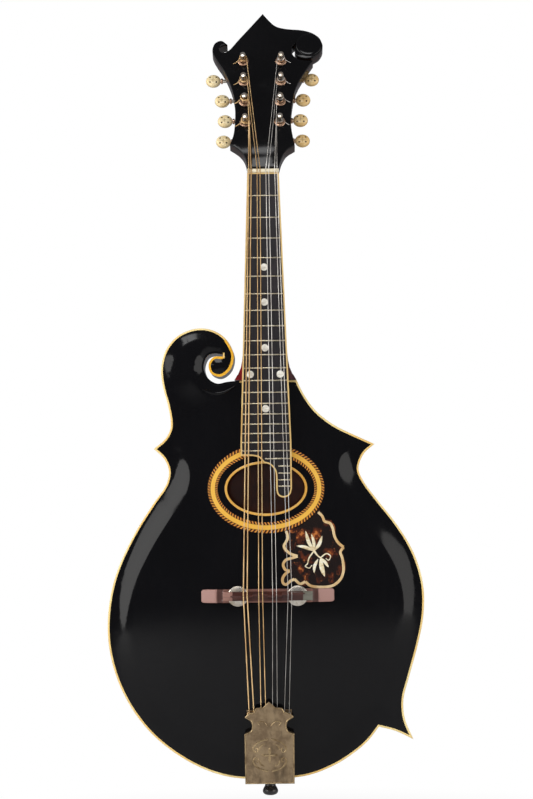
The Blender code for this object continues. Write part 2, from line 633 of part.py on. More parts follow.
def make_post(name, x, along):
    """String post with its gear. Its axis leaves the head's front."""
    nickel = material("post_nickel", (0.62, 0.55, 0.48), 1, 0.3)
    rings = []
    twist = LEAD / (2 * math.pi * WORM_PITCH) / GEAR_PITCH
    for level in (-GEAR_THICK / 2, GEAR_THICK / 2):
        loop = []
        for tooth in range(TEETH):
            middle = -math.pi / 2 + twist * level + (tooth + 0.5) * 2 * math.pi / TEETH
            for radius, half in zip(GEAR_RADII + GEAR_RADII[::-1], (-0.64, -0.3, 0.3, 0.64)):
                turn = middle + half / radius
                loop.append((radius * math.cos(turn), radius * math.sin(turn), GEAR_LEVEL + level))
        rings.append(loop)
    place = dict(origin=head_point(x, along, 0), turn=math.radians(90 - HEAD_LEAN))
    gear = loft(name, rings, nickel, **place)
    combine(gear, rods("post", 2, [(0, 0)], POST_RADIUS, POST_BACK, POST_TOP, 14, **place), "UNION")


def make_worm(name, x, along, side, button):
    """Worm and its shaft, reaching out to the button. Its axis is the head's X."""
    steel = material("worm_nickel", (0.60, 0.56, 0.50), 1, 0.3)
    columns, crest, root = 10, 0.27, 0.585  # half-widths of the thread at its crest and its root
    steps = ((-root, WORM_RADII[0]), (-crest, WORM_RADII[1]), (crest, WORM_RADII[1]), (root, WORM_RADII[0]))
    rows = [(root - LEAD, WORM_RADII[0])]
    rows += [(turn * LEAD + at, radius) for turn in range(WORM_TURNS) for at, radius in steps]
    points = []
    for at, radius in rows:
        for k in range(columns):
            turn = 2 * math.pi * k / columns + math.pi
            points.append((at + LEAD * (k / columns - WORM_TURNS / 2),
                           radius * math.cos(turn), radius * math.sin(turn)))
    last = len(rows) - 1
    vertex = lambda r, k: r * columns + k if k < columns else (r + 4) * columns
    faces = [
        (vertex(r, k), vertex(r, k + 1), vertex(r + 1, k + 1), vertex(r + 1, k))
        for r in range(last) for k in range(columns) if k < columns - 1 or r + 5 <= last
    ]
    start = [vertex(0, k) for k in range(columns)] + [vertex(r, 0) for r in range(4, 0, -1)]
    finish = [vertex(last, k) for k in range(columns)]
    finish += [vertex(r, columns - 1) for r in range(last - 1, last - 5, -1)]
    ends = ((start, points[vertex(2, 0)][0] + crest), (finish, points[finish[columns - 1]][0] - root))
    for loop, at in ends:
        points.append((at, 0, 0))
        faces += [(a, b, len(points) - 1) for a, b in zip(loop, loop[1:] + loop[:1])]
    place = dict(origin=head_point(x, along - GEAR_PITCH - WORM_PITCH, GEAR_LEVEL),
                 turn=math.radians(90 - HEAD_LEAN))
    worm = solid(name, points, faces, steel, **place)
    inner = -side * (LUG[0] + LUG[1] + 0.6)
    outer = side * (button - BUTTON[0] - GAP - abs(x))
    shaft = rods("shaft", 0, [(0, 0)], SHAFT_RADIUS, min(inner, outer), max(inner, outer), 12, **place)
    combine(worm, shaft, "UNION")


def make_button(name, x, along, side):
    """Oval button on the worm shaft."""
    pearl = material("button_cream" if side < 0 else "button_amber", (0.82, 0.72, 0.50))
    rings = []
    for tilt in np.radians((-78, -52, -26, 0, 26, 52, 78)):
        flat = math.cos(tilt) ** 0.6
        loop = []
        for k in range(14):
            turn = 2 * math.pi * k / 14
            loop.append((BUTTON[0] * flat * math.cos(turn), BUTTON[1] * flat * math.sin(turn),
                         BUTTON[2] * math.sin(tilt)))
        rings.append(loop)
    place = head_point(x, along - GEAR_PITCH - WORM_PITCH, GEAR_LEVEL)
    loft(name, rings, pearl, origin=place, turn=math.radians(90 - HEAD_LEAN), smooth=True)


def make_tuner_plate(name, side):
    """Backing plate with two lugs for each worm."""
    nickel = material("plate_nickel", (0.58, 0.53, 0.46), 1, 0.35)
    back = -HEAD_THICK - GAP
    inner, outer, low, high = TUNER_PLATE
    ends = sorted((side * inner, side * outer))
    plate = on_head(block, name, (ends[0], low, back - TUNER_PLATE_THICK), (ends[1], high, back), nickel)
    points, faces = [], []
    for x, along in POSTS:
        middle = along - GEAR_PITCH - WORM_PITCH
        for way in (-1, 1):
            near, far = sorted((side * x + way * LUG[0], side * x + way * (LUG[0] + LUG[1])))
            start = len(points)
            points += [(u, v, w) for u in (near, far) for v, w in (
                (middle - LUG[2], back - 0.4), (middle + LUG[2], back - 0.4),
                (middle + LUG[2] - 0.6, GEAR_LEVEL - 3.0), (middle - LUG[2] + 0.6, GEAR_LEVEL - 3.0))]
            faces += [tuple(start + i for i in f) for f in (
                (0, 1, 2, 3), (4, 5, 6, 7), (0, 1, 5, 4), (1, 2, 6, 5), (2, 3, 7, 6), (3, 0, 4, 7))]
    combine(plate, on_head(solid, "lugs", points, faces, None), "UNION")
    combine(plate, on_head(rods, "cut", 0, [(s - GEAR_PITCH - WORM_PITCH, GEAR_LEVEL) for _, s in POSTS],
                           SHAFT_RADIUS + GAP, -60, 60, 10), "DIFFERENCE")
    combine(plate, on_head(rods, "cut", 2, [(side * x, s) for x, s in POSTS], POST_RADIUS + GAP,
                           back - 2, 5, 12), "DIFFERENCE")


def make_tuners():
    """Eight geared tuners: four on a plate, on each side."""
    for mark, side in (("b", -1), ("t", 1)):
        make_tuner_plate("tuner_plate_" + {"b": "bass", "t": "treble"}[mark], side)
        for i, ((x, along), button) in enumerate(zip(POSTS, BUTTON_X), 1):
            make_post(f"tuner_post_{mark}{i}", side * x, along)
            make_worm(f"tuner_worm_{mark}{i}", side * x, along, side, button)
            make_button(f"tuner_button_{mark}{i}", side * button, along, side)


def make_strings():
    """Eight strings, each from its hook over the saddle and the nut to its post."""
    looks = {"b": material("bronze_string", (0.55, 0.33, 0.16), 1, 0.35),
             "t": material("steel_string", (0.62, 0.62, 0.62), 1, 0.3)}
    for mark, side in (("b", -1), ("t", 1)):
        for i in range(4):
            tail, saddle, nut = (side * x for x in STRING_X[i])
            radius = STRING_RADII[mark][i]
            x, along = POSTS[i]
            x *= side
            level = GAP + radius
            wrap = POST_RADIUS + GAP + radius
            path = [(tail, HOOK[1] + 0.9, HOOK_Z + HOOK[0] + GAP), (saddle, SADDLE_FRONT - level, BRIDGE_Z + 0.8),
                    (nut, NUT_FRONT - level, NUT_Z + 0.4), (nut, NUT_FRONT - level, NUT_Z + NUT_THICK + 0.1)]
            drop = 2 * radius + 0.35
            steps = 10
            for k in range(2 * steps + steps // 2 + 1):
                turn = 2 * math.pi * k / steps
                path.append(head_point(x - side * wrap * math.cos(turn), along + wrap * math.sin(turn),
                                       WIND_TOP[i] - drop * k / steps))
            tube(f"string_{mark}{i + 1}", path, radius, looks[mark], 5)


def make_bridge():
    """Bridge base, studs, thumbwheels and the saddle they lift."""
    rosewood = material("rosewood", (0.28, 0.12, 0.09), roughness=0.5)
    long, wide = BASE_HALF
    shape = [(-long, -wide + 1.5), (-long, wide - 1.5), (-long + 4, wide), (long - 4, wide), (long, wide - 1.5),
             (long, -wide + 1.5), (long - 4, -wide), (-long + 4, -wide)]
    shape = [(x, z + BRIDGE_Z) for x, z in shape]
    lift = lambda x, z: np.maximum(BASE_FRONT, top_face(-3.2)(x, z) - np.clip((long - np.abs(x)) * 0.25, 0, 9))
    base = slab("bridge_base", shape, [], lift, top_face(-GAP), rosewood, 6)
    places = [(side * WHEEL_X, BRIDGE_Z) for side in (-1, 1)]
    combine(base, rods("cut", 1, places, STUD_RADIUS + 0.2, STUD[0] + GAP, -60), "DIFFERENCE")
    steel = material("wheel_nickel", (0.60, 0.58, 0.54), 1, 0.35)
    for name, side in (("bass", -1), ("treble", 1)):
        middle = (side * WHEEL_X, BRIDGE_Z)
        stud = ring((0, 0), (STUD_RADIUS,) * 2, 12)
        slab(f"bridge_stud_{name}", stud, [], STUD[1], STUD[0], steel, origin=(middle[0], 0, middle[1]))
        outer, hole, thick = WHEEL
        slab(f"thumbwheel_{name}", ring((0, 0), (outer,) * 2, 28), [ring((0, 0), (hole,) * 2, 12)],
             WHEEL_BACK - thick, WHEEL_BACK, steel, origin=(middle[0], 0, middle[1]))
    dark = material("saddle_rosewood", (0.24, 0.11, 0.08), roughness=0.5)
    rings = []
    for x, rise in ((-SADDLE_HALF, 0.35), (-29, 0.72), (-22, 1), (22, 1), (29, 0.72), (SADDLE_HALF, 0.35)):
        front = SADDLE_BACK + (SADDLE_FRONT - SADDLE_BACK) * rise
        rings.append([(x, y, BRIDGE_Z + z) for z, y in (
            (-3.8, SADDLE_BACK), (3.8, SADDLE_BACK), (3.8, SADDLE_BACK - 1.6), (2.4, front), (-0.9, front),
            (-3.8, SADDLE_BACK - 1.6))])
    saddle = loft("bridge_saddle", rings, dark)
    combine(saddle, rods("cut", 1, places, STUD_RADIUS + 0.4, -48.6, -40), "DIFFERENCE")


def make_tail():
    """Tailpiece base with its hooks, sliding cover and end button."""
    brass = material("tail_brass", (0.45, 0.33, 0.20), 1, 0.35)
    waist = 13.9
    shape = [(-waist, 17.2), (-waist, 68), (-18.6, 70), (-18.6, 75), (18.6, 75), (18.6, 70), (waist, 68), (waist, 17.2)]
    base = slab("tailpiece_base", shape, [], top_face(-GAP - TAIL_PLATE), top_face(-GAP - 0.12), brass, 9)
    edge = -RIM_DEPTH / 2 - GAP - TAIL_PLATE
    combine(base, block("hanger", (-10, edge, 14.3), (10, 8, 15.5)), "UNION")
    combine(base, block("bend", (-10, edge, 14.3), (10, -RIM_DEPTH / 2 - GAP, 18)), "UNION")
    hooks = [(side * x, HOOK_Z) for x, _, _ in STRING_X for side in (-1, 1)]
    combine(base, rods("hooks", 1, hooks, HOOK[0], HOOK[1], -32.0, 8), "UNION")
    combine(base, rods("cut", 2, [(0, 0)], PIN_RADIUS + GAP, 5, 25), "DIFFERENCE")
    plated = material("cover_brass", (0.42, 0.31, 0.20), 1, 0.3)
    (low, near), (high, far) = COVER_SLOPE
    front = lambda x, z: near + (np.asarray(z) - low) * (far - near) / (high - low)
    rest = lambda x, z: -RIM_DEPTH / 2 - TOP_ARCH * np.clip(
        1 - ((np.asarray(z) - ARCH_CENTRE[1]) / ARCH_REACH[1]) ** 2, 0, None) - GAP
    cover = slab("tailpiece_cover", outline(COVER_RUNS), [], front, rest, plated, 10)
    w, n = 20.4 - COVER_WALL, 15 - COVER_WALL
    inner = [(-w, 14.8), (-w, 55.2), (-n, 57.6), (-n, 66.2), (-w, 70), (-w, 90), (w, 90), (w, 70), (n, 66.2), (n, 57.6),
             (w, 55.2), (w, 14.8)]
    combine(cover, slab("cut", inner, [], lambda x, z: front(x, z) + COVER_WALL, 0, None), "DIFFERENCE")
    black = material("black_plastic", (0.02, 0.02, 0.02), roughness=0.25)
    rings = []
    for radius, z in BUTTON_PROFILE[1:-1]:
        rings.append([(radius * math.cos(t), radius * math.sin(t), z) for t in np.arange(18) * math.pi / 9])
    loft("end_button", rings, black, smooth=False)


make_top()
make_inlays()
make_top_binding()
make_back()
make_sides()
make_linings()
make_blocks()
make_fingerboard()
make_nut()
make_neck()
make_veneer()
make_tuners()
make_strings()
make_bridge()
make_tail()
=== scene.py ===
import math
import bmesh
import bpy
import numpy as np
from mathutils import Matrix, Vector
from mathutils.geometry import delaunay_2d_cdt


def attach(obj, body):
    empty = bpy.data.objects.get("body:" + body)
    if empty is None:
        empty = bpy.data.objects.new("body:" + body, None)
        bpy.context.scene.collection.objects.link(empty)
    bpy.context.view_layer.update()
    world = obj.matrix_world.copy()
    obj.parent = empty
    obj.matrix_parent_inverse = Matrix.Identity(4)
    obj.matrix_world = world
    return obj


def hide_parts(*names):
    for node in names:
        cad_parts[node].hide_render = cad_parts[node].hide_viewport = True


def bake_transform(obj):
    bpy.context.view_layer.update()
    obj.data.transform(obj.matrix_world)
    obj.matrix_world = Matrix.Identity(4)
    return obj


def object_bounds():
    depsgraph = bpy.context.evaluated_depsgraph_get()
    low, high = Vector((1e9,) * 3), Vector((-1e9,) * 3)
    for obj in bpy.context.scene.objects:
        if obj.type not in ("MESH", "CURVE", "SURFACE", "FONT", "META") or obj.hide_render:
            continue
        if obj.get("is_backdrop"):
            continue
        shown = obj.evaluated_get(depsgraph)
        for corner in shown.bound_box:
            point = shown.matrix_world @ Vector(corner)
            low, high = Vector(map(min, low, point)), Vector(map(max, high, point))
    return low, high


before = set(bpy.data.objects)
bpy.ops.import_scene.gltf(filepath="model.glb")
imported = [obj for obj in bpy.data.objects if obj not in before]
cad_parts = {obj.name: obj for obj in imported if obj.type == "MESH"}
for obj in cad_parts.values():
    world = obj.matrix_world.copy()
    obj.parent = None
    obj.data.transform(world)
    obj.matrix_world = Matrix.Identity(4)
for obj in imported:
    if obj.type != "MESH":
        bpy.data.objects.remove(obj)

cad_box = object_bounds()

# Camera: square to the instrument from 1.7 m, a little low and to the treble side, with the head leaning left.
# A mandolin's depth is small beside its length, so a long lens keeps its outline true.
camera = bpy.data.objects.new("camera", bpy.data.cameras.new("camera"))
bpy.context.scene.collection.objects.link(camera)
bpy.context.scene.camera = camera
camera.data.sensor_fit = "VERTICAL"
camera.data.sensor_height = 36.0
camera.data.lens = 36.0 * 1.70 / 0.6616
camera.location = (0.0155, -1.740, 0.2653)
aim = Vector((0.0009, -0.040, 0.33157)) - camera.location
camera.matrix_world = (Matrix.Translation(camera.location) @ aim.to_track_quat("-Z", "Y").to_matrix().to_4x4()
                       @ Matrix.Rotation(math.radians(-0.68), 4, "Z"))

# Floor, backdrop and light: white paper on the floor, a broad soft lamp on each side and a weak one in front.
# The paper takes the instrument's shade close by and goes over into the white backdrop further off.
bpy.context.scene.view_settings.view_transform = "Standard"
paper = bpy.data.materials.new("white_paper")
paper.use_nodes = True
nodes, links = paper.node_tree.nodes, paper.node_tree.links
rays = nodes.new("ShaderNodeLightPath")
glow = nodes.new("ShaderNodeEmission")
both = nodes.new("ShaderNodeMixShader")
where = nodes.new("ShaderNodeTexCoord")
away = nodes.new("ShaderNodeVectorMath")
away.operation = "LENGTH"
far_off = nodes.new("ShaderNodeMapRange")
seen = nodes.new("ShaderNodeMath")
seen.operation = "MULTIPLY"
far_off.interpolation_type = "SMOOTHSTEP"
far_off.inputs["From Min"].default_value, far_off.inputs["From Max"].default_value = 0.12, 0.75
nodes["Principled BSDF"].inputs["Base Color"].default_value = (0.88, 0.88, 0.88, 1)
nodes["Principled BSDF"].inputs["Roughness"].default_value = 0.9
links.new(where.outputs["Object"], away.inputs[0])
links.new(away.outputs["Value"], far_off.inputs["Value"])
links.new(rays.outputs["Is Camera Ray"], seen.inputs[0])
links.new(far_off.outputs[0], seen.inputs[1])
links.new(seen.outputs[0], both.inputs[0])
links.new(nodes["Principled BSDF"].outputs[0], both.inputs[1])
links.new(glow.outputs[0], both.inputs[2])
links.new(both.outputs[0], nodes["Material Output"].inputs[0])
mesh = bpy.data.meshes.new("paper_floor")
mesh.from_pydata([(-6, -6, -0.1), (6, -6, -0.1), (6, 6, -0.1), (-6, 6, -0.1)], [], [(0, 1, 2, 3)])
mesh.materials.append(paper)
floor = bpy.data.objects.new("paper_floor", mesh)
bpy.context.scene.collection.objects.link(floor)
floor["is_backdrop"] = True
world = bpy.data.worlds.new("studio")
bpy.context.scene.world = world
world.use_nodes = True
nodes, links = world.node_tree.nodes, world.node_tree.links
rays = nodes.new("ShaderNodeLightPath")
tone = nodes.new("ShaderNodeMix")
tone.data_type = "RGBA"
tone.inputs["A"].default_value = (0.20, 0.20, 0.21, 1)
tone.inputs["B"].default_value = (1, 1, 1, 1)
links.new(rays.outputs["Is Camera Ray"], tone.inputs["Factor"])
links.new(tone.outputs["Result"], nodes["Background"].inputs["Color"])
for name, place, size, watts, shade in (
        ("left_softbox", (-1.5, -0.75, 0.75), (1.0, 1.9), 25, (1, 0.99, 0.97)),
        ("right_softbox", (1.6, -0.9, 0.55), (1.0, 1.9), 16, (1, 0.98, 0.95)),
        ("front_softbox", (-0.25, -1.9, 1.7), (1.0, 0.6), 14, (1, 1, 1))):
    lamp = bpy.data.objects.new(name, bpy.data.lights.new(name, "AREA"))
    lamp.data.shape, lamp.data.size, lamp.data.size_y = "RECTANGLE", *size
    lamp.data.energy, lamp.data.color = watts, shade
    lamp.location = place
    lamp.rotation_euler = (Vector((0, 0, 0.33)) - lamp.location).to_track_quat("-Z", "Z").to_euler()
    bpy.context.scene.collection.objects.link(lamp)


# Carved top: two book-matched spruce plates, arched by hand and lacquered black until they shine like glass.
# Its outline runs clockwise from the end pin, over the scroll and down past the two treble points.
JOIN = 348.3
BODY_RUNS = (
    ((0, 15.8), (-35, 18.7), (-63, 29), (-92.5, 49.4), (-112, 72), (-126.2, 99.7), (-133.4, 130),
     (-133, 160), (-126, 189.5), (-111, 221), (-94, 247.5), (-84, 262), (-81.7, 274), (-86, 284.2),
     (-94.2, 292)),
    ((-94.2, 292), (-84.6, 300), (-79.8, 310), (-81.6, 327), (-85.9, 343.8), (-87.3, 359), (-83, 375),
     (-73, 386.5), (-58, 392.4), (-44, 391), (-32.5, 383.2), (-26.3, 370), (-29.4, 357.7), (-38, 351.9),
     (-45.8, 355.2), (-47.2, 363), (-42.9, 368.4), (-35.5, 368.7)),
    ((-35.5, 368.7), (-35.5, 370.6)),
    ((-35.5, 370.6), (-42, 371.6), (-48.3, 369.5), (-51.8, 360), (-48.2, 350.7), (-40.6, 346),
     (-32.1, 347.3), (-22, JOIN)),
    ((-22, JOIN), (26.2, JOIN)),
    ((26.2, JOIN), (31.3, 337.5), (41.9, 322.4), (57, 310.3), (73.3, 302), (90.6, 294)),
    ((90.6, 294), (81.5, 285.8), (77, 273.5), (81, 263), (92.7, 246.8), (108.2, 226.7), (122, 203),
     (129.5, 177), (129.5, 151), (124.5, 126.7), (116.5, 98.8), (111.8, 81), (112.8, 65), (119.6, 48)),
    ((119.6, 48), (105, 55), (91.1, 58.7)),
    ((91.1, 58.7), (82, 47.3), (70.3, 37.5), (54.3, 27.6), (32, 19.2), (0, 15.8)),
)
RIM = 22.0  # half the depth at the edge
PLATE = 4.0
HOLE = np.array((-0.5, 257.9))
HOLE_EDGE = np.array((32.4, 20.8))


def smooth_line(points, turn_step=0.07, longest=6.0):
    """A centripetal Catmull-Rom curve through the points, with more steps where it turns."""
    p = np.array(points, float)
    if len(p) == 2:
        steps = max(1, math.ceil(np.linalg.norm(p[1] - p[0]) / longest))
        return p[0] + (p[1] - p[0]) * np.linspace(0, 1, steps + 1)[:, None]
    p = np.vstack([2 * p[0] - p[1], p, 2 * p[-1] - p[-2]])
    out = [p[1:2]]
    for a, b, c, d in zip(p, p[1:], p[2:], p[3:]):
        k = [0, *np.cumsum([math.sqrt(np.linalg.norm(v)) for v in (b - a, c - b, d - c)])]
        turn = abs(math.remainder(math.atan2(*(d - b)) - math.atan2(*(c - a)), 2 * math.pi))
        steps = max(1, math.ceil(turn / turn_step), math.ceil(np.linalg.norm(c - b) / longest))
        t = np.linspace(k[1], k[2], steps + 1)[1:, None]
        mix = lambda u, v, i, j: u * (k[j] - t) / (k[j] - k[i]) + v * (t - k[i]) / (k[j] - k[i])
        ab, bc, cd = mix(a, b, 0, 1), mix(b, c, 1, 2), mix(c, d, 2, 3)
        out.append(mix(mix(ab, bc, 0, 2), mix(bc, cd, 1, 3), 1, 2))
    return np.vstack(out)


def outline(runs, inset=0.0, turn_step=0.07, longest=6.0):
    """The closed outline of some runs, moved inwards by inset: each run is moved by its normals, then
    neighbours are cut where they cross, or led on to where they would meet."""
    lines = [smooth_line(run, turn_step, longest) for run in runs]
    if inset:
        x, z = np.vstack(lines).T
        inset *= math.copysign(1, (np.roll(x, -1) * z - x * np.roll(z, -1)).sum())
        for i, line in enumerate(lines):
            ahead = np.diff(line, axis=0)
            ahead /= np.linalg.norm(ahead, axis=1)[:, None]
            side = np.column_stack([ahead[:, 1], -ahead[:, 0]])
            mean = np.vstack([side[:1], side[1:] + side[:-1], side[-1:]])
            mean[1:-1] /= (1 + (side[1:] * side[:-1]).sum(axis=1))[:, None]
            lines[i] = line + inset * mean
        for i in range(len(lines)):
            first, second = lines[i - 1], lines[i]
            a, u = first[:-1, None], np.diff(first, axis=0)[:, None]
            c, v = second[None, :-1], np.diff(second, axis=0)[None]
            base = u[..., 0] * v[..., 1] - u[..., 1] * v[..., 0]
            base = np.where(abs(base) < 1e-9, np.nan, base)
            w = c - a
            s = (w[..., 0] * v[..., 1] - w[..., 1] * v[..., 0]) / base
            t = (w[..., 0] * u[..., 1] - w[..., 1] * u[..., 0]) / base
            met = np.argwhere((s >= 0) & (s <= 1) & (t >= 0) & (t <= 1))
            if len(met):
                m, n = max(met.tolist(), key=lambda mn: mn[0] - mn[1])
                corner = first[m] + (first[m + 1] - first[m]) * s[m, n]
                lines[i - 1] = np.vstack([first[: m + 1], corner])
                lines[i] = np.vstack([corner, second[n + 1:]])
            elif 1 < s[-1, 0] < 200 and np.linalg.norm(first[-1] - second[0]) > 0.2 * abs(inset):
                corner = first[-2] + (first[-1] - first[-2]) * s[-1, 0]
                if np.linalg.norm(corner - first[-1]) < 3 * abs(inset):
                    lines[i - 1] = np.vstack([first, corner])
    joined = np.vstack(lines)
    return joined[np.linalg.norm(joined - np.roll(joined, 1, axis=0), axis=1) > 0.03]


def within(points, loop):
    """Which points lie inside a closed loop, by counting crossings."""
    a, b = loop, np.roll(loop, -1, axis=0)
    x, z = points[:, :1], points[:, 1:]
    spans = (a[:, 1] > z) != (b[:, 1] > z)
    with np.errstate(divide="ignore", invalid="ignore"):
        cut = a[:, 0] + (z - a[:, 1]) * (b[:, 0] - a[:, 0]) / (b[:, 1] - a[:, 1])
    return (spans & (x < cut)).sum(axis=1) % 2 == 1


def edge_distance(points, loop):
    """How far each point is from a closed loop, taken in batches."""
    step = np.roll(loop, -1, axis=0) - loop
    length = (step ** 2).sum(axis=1)
    found = []
    for some in np.array_split(points, max(1, len(points) // 2000)):
        t = np.clip(((some[:, None] - loop) * step).sum(axis=2) / length, 0, 1)
        found.append(np.linalg.norm(some[:, None] - loop - t[..., None] * step, axis=2).min(axis=1))
    return np.concatenate(found)


def smoothstep(t):
    t = np.clip(t, 0, 1)
    return t * t * (3 - 2 * t)


BODY = outline(BODY_RUNS)
BODY_ROUGH = outline(BODY_RUNS, 0, 0.16, 12)


def arch(x, z, height, scroll=4.0):
    """Height of a carved plate over its edge: an elliptic dome, and a ridge round the scroll, both faded
    out towards the edge."""
    points = np.column_stack([x, z])
    dome = np.clip(1 - (((points - (-2, 170)) / (140, 165)) ** 2).sum(axis=1), 0, None) * height
    ridge = scroll * np.exp(-((points[:, 0] + 60) ** 2 + (points[:, 1] - 360) ** 2) / 26.0 ** 2)
    far = np.where(within(points, BODY_ROUGH), edge_distance(points, BODY_ROUGH), 0)
    return dome * smoothstep(far / 20) + ridge * smoothstep(far / 10)


def top_face(x, z):
    return -RIM - arch(x, z, 14.0)


def ring(centre, radii, count=120):
    """An ellipse's points."""
    turn = np.arange(count) * 2 * math.pi / count
    return np.column_stack([centre[0] + radii[0] * np.cos(turn), centre[1] + radii[1] * np.sin(turn)])


def fill(loops, lines=(), spacing=0.0):
    """Triangles over the first loop without the others, following the inner lines, with a grid of
    points between. Gives the points, the triangles and the wall edges."""
    loops = [np.asarray(each, float) for each in loops]
    points, edges = [], []
    for each in (*loops, *lines):
        count = len(each)
        edges.append(len(np.vstack(points)) if points else 0)
        points.append(np.asarray(each, float))
    edges = [(start + i, start + (i + 1) % len(each)) for start, each in zip(edges, points)
             for i in range(len(each))]
    if spacing:
        low, high = loops[0].min(axis=0), loops[0].max(axis=0)
        rows = np.arange(low[1], high[1], spacing * 0.87)
        x, z = np.meshgrid(np.arange(low[0], high[0], spacing), rows)
        x = x + spacing / 2 * (np.arange(len(rows)) % 2)[:, None]
        grid = np.column_stack([x.ravel(), z.ravel()])
        keep = within(grid, loops[0])
        for each in loops[1:]:
            keep &= ~within(grid, each)
        grid = grid[keep]
        for each in (*loops, *lines):
            grid = grid[edge_distance(grid, np.asarray(each, float)) > 0.45 * spacing]
        points.append(grid)
    flat, _, faces, *_ = delaunay_2d_cdt([Vector(p) for p in np.vstack(points)], edges, [], 0, 1e-6)
    flat = np.array([tuple(p) for p in flat])
    faces = np.array(faces)
    middle = flat[faces].mean(axis=1)
    inside = within(middle, loops[0])
    for each in loops[1:]:
        inside &= ~within(middle, each)
    used, faces = np.unique(faces[inside], return_inverse=True)
    flat, faces = flat[used], faces.reshape(-1, 3)
    ends = np.concatenate([faces[:, [0, 1]], faces[:, [1, 2]], faces[:, [2, 0]]])
    code = ends[:, 0] * len(flat) + ends[:, 1]
    back = ends[:, 1] * len(flat) + ends[:, 0]
    return flat, faces, ends[~np.isin(back, code)]


def slab(loops, front, back, lines=(), spacing=0.0):
    """A plate over an outline between two heights, each a number or a function of x and z."""
    flat, faces, rim = fill(loops, lines, spacing)
    level = [f(flat[:, 0], flat[:, 1]) if callable(f) else np.full(len(flat), float(f)) for f in (front, back)]
    points = np.vstack([np.column_stack([flat[:, 0], y, flat[:, 1]]) for y in level])
    count = len(flat)
    walls = np.column_stack([rim, rim[:, ::-1] + count])
    return points, [*faces[:, ::-1].tolist(), *(faces + count).tolist(), *walls.tolist()]


def piece(name, shape, look, body="instrument", stands_for=(), uv=None, sharp=35):
    """A finished piece from points in mm, riding on its body, with its faces turned outwards."""
    points, faces, *rest = shape
    uv = rest[0] if rest else uv
    mesh = bpy.data.meshes.new(name)
    mesh.from_pydata((np.asarray(points, float) * 0.001).tolist(), [], [list(f) for f in faces])
    work = bmesh.new()
    work.from_mesh(mesh)
    bmesh.ops.recalc_face_normals(work, faces=work.faces)
    work.to_mesh(mesh)
    work.free()
    mesh.materials.append(look.material)
    mesh.shade_smooth()
    mesh.set_sharp_from_angle(angle=math.radians(sharp))
    if uv is not None:
        at = np.empty(len(mesh.loops), np.int32)
        mesh.loops.foreach_get("vertex_index", at)
        mesh.uv_layers.new(name="along").data.foreach_set("uv", np.asarray(uv, np.float32)[at].ravel())
    made = bpy.data.objects.new(name, mesh)
    bpy.context.scene.collection.objects.link(made)
    if body:
        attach(made, body)
    if stands_for:
        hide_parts(*([stands_for] if isinstance(stands_for, str) else stands_for))
    return made


class Value:
    """A shader socket that takes part in sums."""

    def __init__(self, look, socket):
        self.look, self.socket = look, socket

    def math(self, operation, *others, flip=False):
        terms = [*others, self] if flip else [self, *others]
        return self.look.node("ShaderNodeMath", {"operation": operation}, terms)

    def __add__(self, other):
        return self.math("ADD", other)

    def __sub__(self, other):
        return self.math("SUBTRACT", other)

    def __rsub__(self, other):
        return self.math("SUBTRACT", other, flip=True)

    def __mul__(self, other):
        return self.math("MULTIPLY", other)

    def __truediv__(self, other):
        return self.math("DIVIDE", other)

    def __gt__(self, other):
        return self.math("GREATER_THAN", other)

    def __lt__(self, other):
        return self.math("LESS_THAN", other)

    __radd__, __rmul__ = __add__, __mul__


